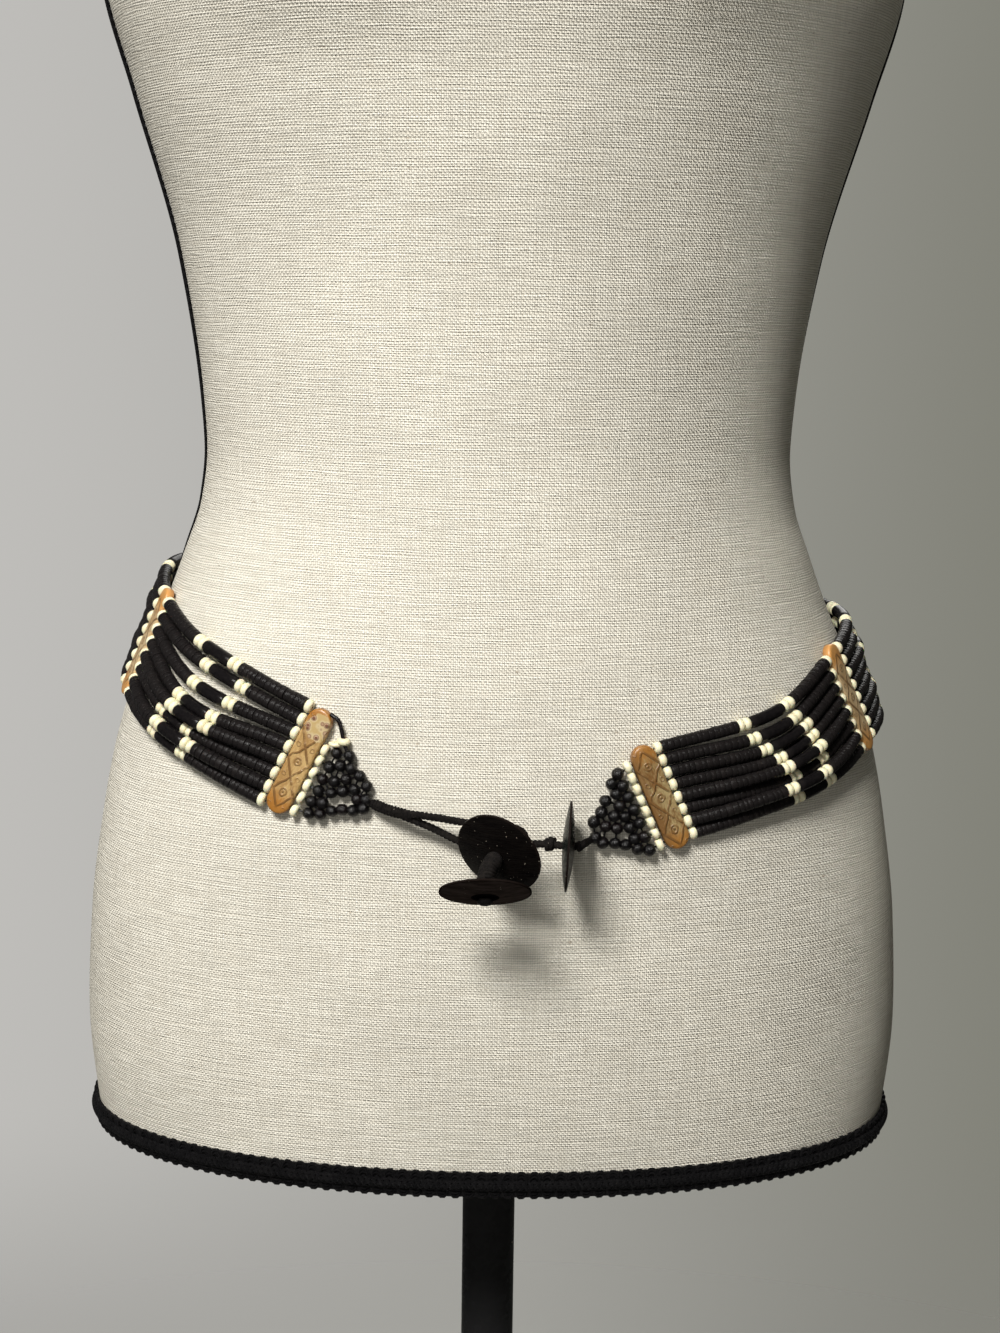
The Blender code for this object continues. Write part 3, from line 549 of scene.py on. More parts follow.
@dataclass(frozen=True)
class HornFinish(Finish):
    """Polished black horn, browner at its rim, with fine scratches, dust and, where asked, a painted dark
    reflection in its middle.
    """

    name: str = "black_horn"
    colour: Colour = (0.0025, 0.002, 0.002)
    rim: Colour = (0.010, 0.007, 0.006)
    streak: Colour = (0.005, 0.004, 0.0035)
    dust: float = 0.5
    film: float = 0.002
    dark_reflection_radius: float = 0.0
    gloss: float = 0.05
    radius: float = 16.2

    def looks(self, bench: Bench) -> Looks:
        """Streaks across the disc, a painted dark reflection in its middle, a brown rim, and dust."""
        where = bench.laid()
        body = MOTTLE.place(bench, lay=bench.stretched(where, 0.10, 0.55, 0.3), scale=1.0, first=self.colour,
                            second=self.streak)
        reach = bench.reach(*bench.split(where)[:2])
        # Painted dark reflection in the disc's middle, out to the given radius.
        inside = bench.ease(reach, self.dark_reflection_radius - 0.5, self.dark_reflection_radius, 1.0, 0.0)
        reflected = bench.mix(inside, body["Colour"], (0.002,) * 3)
        rimmed = bench.mix(bench.ease(reach, self.radius - 0.7, self.radius - 0.1), reflected, self.rim)
        dusted = DUST.place(bench, lay=where, colour=rimmed, scale=0.75, amount=self.dust, film=self.film)
        scratches = bench.noise(bench.stretched(where, 0.25, 4.0, 1.0), 1.0, 2.0)
        return {"Base Color": dusted["Colour"], "Roughness": bench.ease(scratches, 0.3, 0.75, 0.20, 0.42),
                "Specular IOR Level": self.gloss, "Normal": bench.bump(scratches, 0.00002, 0.4)}


@dataclass(frozen=True)
class BoneFinish(Finish):
    """Amber bone, engraved, darker and redder towards its ends, with a porous patch where it was cut, and
    painted shade on its side walls.
    """

    colour: Colour = (0.49, 0.33, 0.135)
    deep: Colour = (0.31, 0.17, 0.055)
    tip: Colour = (0.33, 0.13, 0.016)
    mark: Colour = (0.16, 0.075, 0.02)
    patch: Pair = (0.0, 60.0)
    patch_radius: float = 5.0
    shade_side: float = 0.0
    pores: tuple[tuple[float, Colour], ...] = (
        (0.0, (0.15, 0.06, 0.035)), (0.18, (0.20, 0.09, 0.05)), (0.26, (0.46, 0.33, 0.20)),
        (0.36, (0.22, 0.11, 0.06)), (0.46, (0.52, 0.41, 0.23)), (0.66, (0.44, 0.31, 0.13)),
    )

    def porous(self, bench: Bench, pores: Wire) -> Wire:
        """The patch's colour, which goes in rings round its pores."""
        node = bench.node("ShaderNodeValToRGB", {0: pores})
        rings = node.color_ramp.elements
        while len(rings) < len(self.pores):
            rings.new(0.5)
        for ring, (place, colour) in zip(rings, self.pores):
            ring.position, ring.color = place, (*colour, 1.0)
        return Wire(bench, node.outputs[0])

    def looks(self, bench: Bench) -> Looks:
        """A clouded body with darker ends, the engraving on its face, the patch, and painted shade on its
        side walls and, where asked, on one side of its face.
        """
        where = bench.laid()
        across, along, depth = bench.split(where)
        body = MOTTLE.place(bench, lay=bench.stretched(where, 0.32, 0.13, 0.3), scale=1.0, first=self.colour,
                            second=self.deep)
        ends = abs((body["Grain"] - 0.5) * 8.0 + along)
        tipped = bench.mix(bench.ease(ends, 11.0, 18.0, 0.0, 0.9), body["Colour"], self.tip)
        # Painted shade: the face grows darker towards one side, as far as shade_side asks.
        sided = bench.mix(bench.ease(across, 1.0, 4.6) * self.shade_side, tipped, self.deep)
        away = bench.reach(across - self.patch[0], along - self.patch[1])
        away = (bench.noise(where, 0.4, 2.0) - 0.5) * 4.0 + away
        patch = bench.ease(away, self.patch_radius - 0.7, self.patch_radius, 1.0, 0.0)
        pores, _ = bench.cells(where, 0.36)
        faced = bench.ease(depth, 1.0, 1.6)
        marks = ENGRAVING.place(bench, lay=where)["Marks"] * faced * (1.0 - patch)
        marked = bench.mix(marks * 0.88, sided, self.mark)
        patched = bench.mix(patch * faced, marked, self.porous(bench, pores))
        # Painted shade: the side walls turn darker brown towards the underside.
        rims = bench.mix(bench.ease(depth, -1.6, 1.2, 0.55, 0.0), patched, (0.20, 0.07, 0.02))
        # The pale proud edges are partly rubbed bone and partly a painted bevel highlight.
        rub_and_glint_mask = RUB_AND_GLINT.place(bench, lay=where, amount=0.3)["Mask"]
        pits = bench.ease(pores, 0.15, 0.3, 1.0, 0.0) * patch * faced
        relief = body["Grain"] * 0.25 - bench.sum("MAXIMUM", marks, pits)
        return {"Base Color": bench.mix(rub_and_glint_mask, rims, (0.68, 0.45, 0.20)), "Coat Weight": 0.15,
                "Coat Roughness": 0.2, "Roughness": bench.ease(body["Grain"], 0.3, 0.7, 0.30, 0.48),
                "Normal": bench.bump(relief, 0.00035, 0.9)}


@dataclass(frozen=True)
class EnamelFinish(Finish):
    """Gloss-black enamel of the stand, a little orange-peeled, with dust."""

    name: str = "black_enamel"
    colour: Colour = (0.003, 0.003, 0.0035)

    def looks(self, bench: Bench) -> Looks:
        """A dark coat, rubbed at its edges and dusted."""
        where = bench.stretched(bench.placed(), *(1 / MM,) * 3)
        body = MOTTLE.place(bench, lay=where, scale=0.03, first=self.colour, second=(0.006, 0.006, 0.007))
        rub_and_glint_mask = RUB_AND_GLINT.place(bench, lay=where, amount=0.25)["Mask"]
        rubbed = bench.mix(rub_and_glint_mask, body["Colour"], (0.06, 0.06, 0.06))
        dusted = DUST.place(bench, lay=where, colour=rubbed, scale=0.25, amount=0.06, film=0.005)
        return {"Base Color": dusted["Colour"], "Roughness": bench.ease(body["Clouds"], 0.0, 1.0, 0.22, 0.36),
                "Specular IOR Level": 0.02, "Normal": bench.bump(bench.noise(where, 0.35, 2.0), 0.0002, 0.15)}


@dataclass(frozen=True)
class FloorFinish(Finish):
    """Plain pale floor, which fades out away from the stand."""

    name: str = "pale_floor"
    colour: Colour = (0.60, 0.60, 0.57)
    near: float = 0.5
    far: float = 2.0

    def looks(self, bench: Bench) -> Looks:
        """Faint clouds, and the fading."""
        where = bench.placed()
        away = bench.wire("ShaderNodeVectorMath", {0: where}, "Value", operation="LENGTH")
        return {"Base Color": bench.mix(bench.noise(where, 1.2, 2.0), self.colour, (0.62, 0.62, 0.59)),
                "Roughness": 0.9, "Alpha": bench.ease(away, self.near, self.far, 1.0, 0.0)}


# Meshes


def unit(vectors: Array) -> Array:
    """The vectors at unit length."""
    return vectors / np.maximum(np.linalg.norm(vectors, axis=-1, keepdims=True), 1e-12)


def lengths_of(points: Array) -> Array:
    """How far along a line each of its points lies."""
    return np.concatenate([[0.0], np.cumsum(np.linalg.norm(np.diff(points, axis=0), axis=1))])


def read_at(places: Array, lengths: Array, points: Array) -> Array:
    """The points of a line at these lengths along it."""
    return np.stack([np.interp(places, lengths, points[:, k]) for k in range(3)], axis=1)


def turned_to(way: Vector) -> Matrix:
    """The turn that brings the Z axis to a way."""
    return way.to_track_quat("Z", "Y").to_matrix()


def circle_turns(sides: int) -> Array:
    """The turns of evenly spaced points on a circle."""
    return 2 * np.pi * np.arange(sides) / sides


@dataclass
class Moulding:
    """Gathers the points and faces of one piece, with what each point says to the finish."""

    name: str
    points: list[Array] = field(default_factory=list)
    lays: list[Array] = field(default_factory=list)
    tints: list[Array] = field(default_factory=list)
    faces: list[tuple[int, ...]] = field(default_factory=list)
    count: int = 0

    def add(self, points: Array, faces: list[tuple[int, ...]], lay: Array, tint: float) -> None:
        """Adds points, with faces that number them from 0.

        Args:
            points: The points, one row each.
            faces: Their faces.
            lay: Where each point lies on its part, in millimetres.
            tint: The part's own number, from 0 to 1.
        """
        self.points.append(points)
        self.lays.append(lay)
        self.tints.append(np.full(len(points), tint))
        start = self.count
        self.faces += [tuple(start + i for i in face) for face in faces]
        self.count += len(points)

    def rings(self, rings: Array, lay: Array | None = None, looped: bool = False, capped: bool = True,
              tint: float = 0.5) -> None:
        """Adds a skin through rings of equally many points.

        Args:
            rings: Points by ring and by place in the ring.
            lay: Where each lies on its part; by default millimetres along and round it.
            looped: Whether the last ring joins the first.
            capped: Whether the ends are closed.
            tint: The part's own number.
        """
        rows, sides = rings.shape[:2]
        if lay is None:
            middles = rings.mean(axis=1)
            along = lengths_of(middles) / MM
            girth = np.linalg.norm(rings - middles[:, None], axis=2).mean() / MM
            around = circle_turns(sides) * girth
            lay = np.zeros((rows, sides, 3))
            lay[..., 0], lay[..., 1] = along[:, None], around[None]
        faces = ring_faces(rows, sides, looped)
        if capped and not looped:
            faces.append(tuple(range(sides))[::-1])
            faces.append(tuple(range((rows - 1) * sides, rows * sides)))
        self.add(rings.reshape(-1, 3), faces, lay.reshape(-1, 3), tint)

    def thread(self, line: Sequence[Vector], radius: float, sides: int = 6, tint: float = 0.2) -> None:
        """Adds a plain thread along a line."""
        self.rings(tube_rings(np.array(line), np.full(len(line), radius), sides), tint=tint)

    def copy(self, pattern: "Moulding", place: Matrix, tint: float) -> None:
        """Adds a copy of a small part at a place, with its own number."""
        turn, shape = np.array(place), np.concatenate(pattern.points)
        lay = np.concatenate(pattern.lays) + np.array((tint * 91.0, tint * 57.0, 0.0))
        self.add(shape @ turn[:3, :3].T + turn[:3, 3], pattern.faces, lay, tint)

    def piece(self, finish: Material, slot: Slot, *nodes: str, sharp: float = 40.0) -> bpy.types.Object:
        """Makes the object, which rides on the part and stands for its nodes.

        Args:
            finish: Its material.
            slot: The record's slot that it takes its finish from; it is not used.
            nodes: The nodes that it stands for.
            sharp: The angle in degrees above which an edge stays sharp.

        Returns:
            The object.
        """
        mesh = bpy.data.meshes.new(self.name)
        mesh.from_pydata(np.concatenate(self.points).tolist(), [], self.faces)
        mesh.update()
        lay = mesh.attributes.new("lay", "FLOAT_VECTOR", "POINT")
        lay.data.foreach_set("vector", np.concatenate(self.lays).astype(np.float32).ravel())
        tint = mesh.attributes.new("tint", "FLOAT", "POINT")
        tint.data.foreach_set("value", np.concatenate(self.tints).astype(np.float32))
        mesh.shade_smooth()
        mesh.set_sharp_from_angle(angle=math.radians(sharp))
        mesh.materials.append(finish)
        item = bpy.data.objects.new(self.name, mesh)
        bpy.context.scene.collection.objects.link(item)
        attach(item, "root")
        if nodes:
            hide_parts(*nodes)
        triangles = sum(len(face) - 2 for face in self.faces)
        LOG.info("%s: %d triangles, for %s", self.name, triangles, ", ".join(nodes) or "no node of its own")
        return item


def ring_faces(rows: int, sides: int, looped: bool) -> list[tuple[int, ...]]:
    """The faces between rings of points.

    Args:
        rows: How many rings there are.
        sides: How many points each has.
        looped: Whether the last ring joins the first.

    Returns:
        The faces, as numbers of points.
    """
    faces = []
    for i in range(rows if looped else rows - 1):
        a, b = i * sides, (i + 1) % rows * sides
        faces += [(a + j, a + (j + 1) % sides, b + (j + 1) % sides, b + j) for j in range(sides)]
    return faces


def tube_rings(line: Array, radii: Array, sides: int, looped: bool = False,
               guides: Array | None = None) -> Array:
    """Rings of points round a line.

    Args:
        line: The points of the line.
        radii: The radius at each point, or at each point and side.
        sides: How many points a ring has.
        looped: Whether the line closes on itself.
        guides: A way out at each point that the first side follows.

    Returns:
        Points by ring and side.
    """
    ahead = np.roll(line, -1, 0) - np.roll(line, 1, 0) if looped else np.gradient(line, axis=0)
    along = unit(ahead)
    if guides is None:
        guides = np.empty_like(line)
        aside = np.cross(along[0], (0.0, 0.0, 1.0))
        way = aside if np.linalg.norm(aside) > 0.1 else np.cross(along[0], (1.0, 0.0, 0.0))
        for i in range(len(line)):
            way = way - along[i] * (way @ along[i])
            way = way / np.linalg.norm(way)
            guides[i] = way
    first = unit(guides - along * np.sum(guides * along, axis=1, keepdims=True))
    second = np.cross(along, first)
    turns = circle_turns(sides)
    spokes = np.cos(turns)[None, :, None] * first[:, None] + np.sin(turns)[None, :, None] * second[:, None]
    reach = np.broadcast_to(np.asarray(radii, float).reshape(len(line), -1), (len(line), sides))
    return line[:, None] + reach[..., None] * spokes


def lathed(profile: Sequence[Pair], sides: int) -> Array:
    """Rings about the Z axis.

    Args:
        profile: Radius and height of each ring.
        sides: How many points each has.

    Returns:
        Points by ring and side.
    """
    turns = circle_turns(sides)
    radii, heights = (np.array(column)[:, None] for column in zip(*profile))
    return np.stack([radii * np.cos(turns), radii * np.sin(turns), heights + 0.0 * turns], axis=2)


def curved(spots: Sequence[Vector], steps: int) -> Array:
    """A smooth curve through spots.

    Args:
        spots: The spots that it passes.
        steps: The steps between neighbours.

    Returns:
        The points of the curve.
    """
    spots = [Vector(spot) for spot in spots]
    spots = [2 * spots[0] - spots[1], *spots, 2 * spots[-1] - spots[-2]]
    points = []
    for a, b, c, d in zip(spots, spots[1:], spots[2:], spots[3:]):
        for i in range(steps):
            t = i / steps
            points.append(0.5 * (2 * b + (c - a) * t + (2 * a - 5 * b + 4 * c - d) * t**2
                                 + (3 * b - a - 3 * c + d) * t**3))
    return np.array([*points, spots[-2]])


class Route:
    """A line with its lengths, along which beads are threaded."""

    def __init__(self, points: Array) -> None:
        self.points = points
        self.lengths = lengths_of(points)

    @property
    def length(self) -> float:
        """The whole length."""
        return float(self.lengths[-1])

    def at(self, length: float) -> Vector:
        """The point this far along."""
        return Vector([float(np.interp(length, self.lengths, self.points[:, k])) for k in range(3)])

    def place(self, length: float, spin: float = 0.0, lean: Pair = (0.0, 0.0)) -> Matrix:
        """A bead's place on the line, with its hole along it, turned and leaning by angles in radians."""
        beside = 0.8 * MM
        ahead = self.at(min(length + beside, self.length)) - self.at(max(length - beside, 0.0))
        turn = turned_to(ahead).to_4x4()
        tilt = Matrix.Rotation(lean[0], 4, "X") @ Matrix.Rotation(lean[1], 4, "Y")
        tilt = tilt @ Matrix.Rotation(spin, 4, "Z")
        return Matrix.Translation(self.at(length)) @ turn @ tilt

    def between(self, start: float, stop: float, steps: int) -> Array:
        """Points from one length to another."""
        return np.array([self.at(start + (stop - start) * i / steps) for i in range(steps + 1)])


def sized(place: Matrix, across: float, along: float) -> Matrix:
    """A bead's place, with the bead made wider or longer."""
    return place @ Matrix.Diagonal((across, across, along, 1.0))


def bead_place(spot: Vector, way: Vector, across: float, along: float) -> Matrix:
    """The place of a bead of this width and length whose hole points a way."""
    return sized(Matrix.Translation(spot) @ turned_to(way).to_4x4(), across, along)


# The form's shape and the belt's line on it


def smooth_line(places: Sequence[float], values: Sequence[float], period: float | None = None) -> Callable[
        [float], float]:
    """A smooth curve through values, which doesn't overshoot them.

    Args:
        places: Where the values stand.
        values: The values.
        period: The length after which they repeat.

    Returns:
        The curve as a function.
    """
    places, values = list(places), list(values)
    if period:
        places = [place + shift for shift in (-period, 0.0, period) for place in places]
        values = values * 3
    steps = [b - a for a, b in zip(places, places[1:])]
    slopes = [(b - a) / step for a, b, step in zip(values, values[1:], steps)]
    tangents = [slopes[0]]
    for before, after in zip(slopes, slopes[1:]):
        tangents.append(2 * before * after / (before + after) if before * after > 0 else 0.0)
    tangents.append(slopes[-1])

    def at(place: float) -> float:
        """The curve's value at a place."""
        i = min(max(bisect_right(places, place) - 1, 0), len(steps) - 1)
        t = (place - places[i]) / steps[i]
        start = (2 * t**3 - 3 * t**2 + 1) * values[i] + (t**3 - 2 * t**2 + t) * steps[i] * tangents[i]
        stop = (3 * t**2 - 2 * t**3) * values[i + 1] + (t**3 - t**2) * steps[i] * tangents[i + 1]
        return start + stop

    return at


@dataclass
class FormShape:
    """The surface of the dress form.

    Each section is a height above the hem, with the half width, front and back depth and squareness there.
    """

    measures: tuple[str, ...] = ("half_width", "front", "back", "squareness")
    sections: tuple[tuple[float, ...], ...] = (
        (0.0, 0.1618, 0.0868, 0.114, 2.0), (0.046, 0.1657, 0.09, 0.12, 2.0),
        (0.089, 0.1636, 0.092, 0.12, 2.0), (0.131, 0.1578, 0.092, 0.113, 2.0),
        (0.154, 0.1533, 0.091, 0.106, 2.0), (0.173, 0.148, 0.09, 0.1, 2.0),
        (0.2, 0.1378, 0.0885, 0.09, 2.0), (0.214, 0.1316, 0.0875, 0.086, 2.0),
        (0.234, 0.124, 0.0865, 0.081, 2.0), (0.254, 0.1172, 0.0855, 0.078, 2.0),
        (0.274, 0.1148, 0.085, 0.077, 2.0), (0.293, 0.1158, 0.086, 0.077, 2.0),
        (0.348, 0.1236, 0.091, 0.082, 2.0), (0.408, 0.14, 0.101, 0.092, 2.1),
        (0.445, 0.15, 0.108, 0.097, 2.2), (0.5, 0.156, 0.109, 0.1, 2.3), (0.56, 0.155, 0.098, 0.099, 2.5),
        (0.62, 0.1535, 0.08, 0.09, 2.7), (0.655, 0.146, 0.068, 0.08, 2.7), (0.685, 0.108, 0.06, 0.072, 2.4),
        (0.708, 0.068, 0.054, 0.063, 2.1), (0.73, 0.054, 0.05, 0.056, 2.0),
        (0.775, 0.05, 0.048, 0.052, 2.0),
    )
    bust_height: float = 0.480
    bust_apart: float = 0.072
    bust_depth: float = 0.024
    bust_spread: float = 0.042

    def __post_init__(self) -> None:
        """Draws a smooth line through each measure of the sections."""
        heights, *columns = zip(*self.sections)
        self.lines = {name: smooth_line(heights, column) for name, column in zip(self.measures, columns)}

    def ring(self, height: float, angles: Array) -> Array:
        """Points of the surface at one height.

        Args:
            height: The height above the hem.
            angles: The angles from the front, in degrees.

        Returns:
            The points, one row each.
        """
        half_width, front, back, squareness = (self.lines[name](height) for name in self.measures)
        turns, power = np.radians(angles), 2.0 / squareness
        across = np.copysign(np.abs(np.sin(turns)) ** power, np.sin(turns))
        ahead = np.copysign(np.abs(np.cos(turns)) ** power, np.cos(turns))
        x = half_width * across
        y = -((front + back) / 2 * ahead + (front - back) / 2 * ahead * ahead)
        rise = math.exp(-(((height - self.bust_height) / self.bust_spread) ** 2))
        swell = sum(np.exp(-(((x - side * self.bust_apart) / self.bust_spread) ** 2)) for side in (-1, 1))
        y -= np.where(ahead > 0, self.bust_depth * rise * swell * ahead, 0.0)
        return np.stack([x, y, np.full(len(angles), HEM_HEIGHT + height)], axis=1)

    def point(self, angle: float, height: float) -> Vector:
        """The surface's point at an angle and a height."""
        return Vector(self.ring(height, np.array([angle]))[0])

    def normal(self, angle: float, height: float) -> Vector:
        """The way out of the surface there."""
        beside = self.ring(height, np.array([angle - 0.5, angle + 0.5]))
        up = self.point(angle, height + MM) - self.point(angle, height - MM)
        return Vector(beside[1] - beside[0]).cross(up).normalized()

    def beside(self, point: Vector, lift: float = 0.0) -> Vector:
        """The surface's point beside another, moved out.

        Args:
            point: The other point.
            lift: How far it moves out.

        Returns:
            The point.
        """
        height = point.z - HEM_HEIGHT
        front, back = self.lines["front"](height), self.lines["back"](height)
        middle, lean = (front + back) / 2, (front - back) / 2
        depth, turn = middle, 0.0
        for _ in range(6):
            turn = math.atan2(point.x / self.lines["half_width"](height), -point.y / depth)
            depth = middle + lean * math.cos(turn)
        angle = math.degrees(turn)
        return self.point(angle, height) + self.normal(angle, height) * lift

    def level_ways(self, height: float, angles: Array) -> Array:
        """The level ways out of the surface at one height."""
        tangents = self.ring(height, angles + 0.5) - self.ring(height, angles - 0.5)
        return unit(np.stack([tangents[:, 1], -tangents[:, 0], np.zeros(len(angles))], axis=1))


@dataclass
class BeltLine:
    """The belt's middle line on the form, from the left end bar round the back to the right end bar.

    Each spot that it passes is an angle from the front, in degrees, and a height above the hem.
    """

    form: FormShape
    first: float = -27.8
    last: float = 23.0 - 360.0
    spots: tuple[Pair, ...] = (
        (-180.0, 0.2020), (-140.0, 0.2060), (-108.0, 0.2060), (-75.5, 0.1979), (-52.0, 0.1824),
        (-27.8, 0.1651), (-17.9, 0.1535), (0.0, 0.1430), (12.0, 0.1440), (23.0, 0.1545), (45.0, 0.1640),
        (68.2, 0.1820), (105.0, 0.1915), (140.0, 0.1970),
    )

    def __post_init__(self) -> None:
        """Measures the line."""
        self.height = smooth_line(*zip(*self.spots), 360.0)
        self.angles = np.linspace(self.first, self.last, 307)
        self.lengths = lengths_of(np.array([self.point(angle) for angle in self.angles]))

    @staticmethod
    def wrapped(angle: float) -> float:
        """The angle brought to within half a turn of the front."""
        return (angle + 180.0) % 360.0 - 180.0

    def point(self, angle: float) -> Vector:
        """The line's point at an angle."""
        return self.form.point(self.wrapped(angle), self.height(self.wrapped(angle)))

    def length_at(self, angle: float) -> float:
        """How far along the belt an angle lies."""
        return float(np.interp(-angle, -self.angles, self.lengths))

    def frame(self, length: float) -> tuple[Vector, Vector, Vector, Vector]:
        """The point there, and the ways along the belt, up across it and out of the form.

        Args:
            length: How far along the belt it is.

        Returns:
            The point and the three ways.
        """
        angle = float(np.interp(length, self.lengths, self.angles))
        along = (self.point(angle - 0.5) - self.point(angle + 0.5)).normalized()
        out = self.form.normal(angle, self.height(self.wrapped(angle)))
        return self.point(angle), along, along.cross(out).normalized(), out


# The dress form and its stand


class BraidPath:
    """A flat strip of the form that a braid lies on, with the lengths along it."""

    lengths: Array

    def at(self, along: Array, across: Array, lift: Array) -> Array:
        """The points at these lengths along, across and out of the strip."""
        raise NotImplementedError


class HemPath(BraidPath):
    """The strip round the form's hem."""

    steps = 1440
    height = 10 * MM

    def __init__(self, form: FormShape) -> None:
        angles = np.linspace(-180.0, 180.0, self.steps + 1)
        self.low, self.high = form.ring(0.0, angles), form.ring(self.height, angles)
        self.ways = form.level_ways(0.5 * MM, angles)
        self.lengths = lengths_of(self.low)

    def at(self, along: Array, across: Array, lift: Array) -> Array:
        """The points at these lengths round the hem, above it and out of it."""
        place = np.interp(along % self.lengths[-1], self.lengths, np.arange(self.steps + 1))
        below, share = np.floor(place).astype(int) % self.steps, (place % 1.0)[:, None]
        low = self.low[below] * (1 - share) + self.low[below + 1] * share
        high = self.high[below] * (1 - share) + self.high[below + 1] * share
        way = self.ways[below] * (1 - share) + self.ways[below + 1] * share
        points = low + (high - low) * (np.maximum(across, 0.0) / self.height)[:, None] + way * lift[:, None]
        points[:, 2] = HEM_HEIGHT + across
        return points


class SeamPath(BraidPath):
    """The strip up one side seam."""

    def __init__(self, form: FormShape, seam: Callable[[float], float], side: int, foot: float,
                 top: float) -> None:
        heights = np.linspace(foot, top, 260)
        spots = [form.point(side * seam(height), height) for height in heights]
        ways = [form.normal(side * seam(height), height) for height in heights]
        self.spots, self.ways = np.array(spots), np.array(ways)
        self.asides = unit(np.cross(np.gradient(self.spots, axis=0), self.ways))
        self.lengths = lengths_of(self.spots)

    def at(self, along: Array, across: Array, lift: Array) -> Array:
        """The points at these lengths up the seam, aside from it and out of it."""
        parts = (self.spots, self.ways, self.asides)
        spots, ways, asides = (read_at(along, self.lengths, part) for part in parts)
        return spots + ways * lift[:, None] + asides * across[:, None]


@dataclass
class ScrollBraid:
    """A gimp braid: pairs of cords that swing from edge to edge, with a plait along the middle."""

    name: str
    path: BraidPath
    half_width: float
    middle: float
    scallop: float
    cord_radius: float
    lift: float
    looped: bool
    plait_radius: float = 0.7 * MM
    steps: int = 14

    def __post_init__(self) -> None:
        """Takes its length from the strip."""
        self.length = float(self.path.lengths[-1])

    def strand(self, moulding: Moulding, reach: float, phase: float, radius: float, wave: float, lift: float,
               rise: float, bulge: float, tint: float) -> None:
        """Adds one cord that swings across the braid.

        Args:
            moulding: What it is added to.
            reach: How far it swings from the middle.
            phase: Where its swing starts, in radians.
            radius: Its radius.
            wave: The length of one swing there and back.
            lift: How far out of the strip it lies.
            rise: How far it passes over and under the others.
            bulge: How round its bends are.
            tint: Its own number.
        """
        waves = max(int(round(self.length / wave)), 1)
        count = waves * self.steps
        turns = 2 * np.pi * waves * np.arange(count + (0 if self.looped else 1)) / count
        swing = turns + phase
        along = self.length * turns / (2 * np.pi * waves) - bulge * np.sin(2 * swing)
        if not self.looped:
            along = np.clip(along, 0.0, self.length)
        across = self.middle + reach * np.sin(swing)
        out = lift + rise * np.cos(swing if rise < 0 else 2 * swing)
        line = self.path.at(along, across, out)
        guides = self.path.at(along, across, out + MM) - line
        rings = tube_rings(line, np.full(len(line), radius), 6, self.looped, guides)
        moulding.rings(rings, looped=self.looped, tint=tint)

    def build(self, finish: Material, node: str) -> bpy.types.Object:
        """Makes the braid.

        Args:
            finish: Its material.
            node: The node that it stands for.

        Returns:
            The braid's object.
        """
        moulding = Moulding(self.name)
        reach = self.half_width - self.cord_radius
        wave = 2 * self.scallop
        for phase in (0.0, math.pi):
            self.strand(moulding, reach, phase, self.cord_radius, wave, self.lift, -0.3 * self.cord_radius,
                        0.05 * wave, 0.3 + phase / 8)
            self.strand(moulding, reach - 1.7 * self.cord_radius, phase, self.cord_radius * 0.9, wave,
                        self.lift + 0.1 * MM, -0.3 * self.cord_radius, 0.03 * wave, 0.4 + phase / 8)
        for phase in (0.0, 2 * math.pi / 3, 4 * math.pi / 3):
            self.strand(moulding, 1.15 * self.plait_radius * 1.3, phase, self.plait_radius,
                        7.4 * self.plait_radius, self.lift + self.plait_radius, 0.45 * self.plait_radius, 0.0,
                        0.5 + phase / 10)
        self.backing(moulding)
        return moulding.piece(finish, Slot.BRAID, node, sharp=60.0)

    def backing(self, moulding: Moulding) -> None:
        """Adds the thin tape that the cords are sewn to."""
        count = max(int(self.length / (3 * MM)), 8)
        along = self.length * np.arange(count + (0 if self.looped else 1)) / count
        half = self.half_width - 1.2 * self.cord_radius
        corners = ((-half, 0.05 * MM), (half, 0.05 * MM), (half, self.lift), (-half, self.lift))
        edges = [self.path.at(along, np.full(len(along), self.middle + across),
                              np.full(len(along), SEAM_GAP + lift)) for across, lift in corners]
        moulding.rings(np.stack(edges[::-1], axis=1), looped=self.looped, tint=0.4)


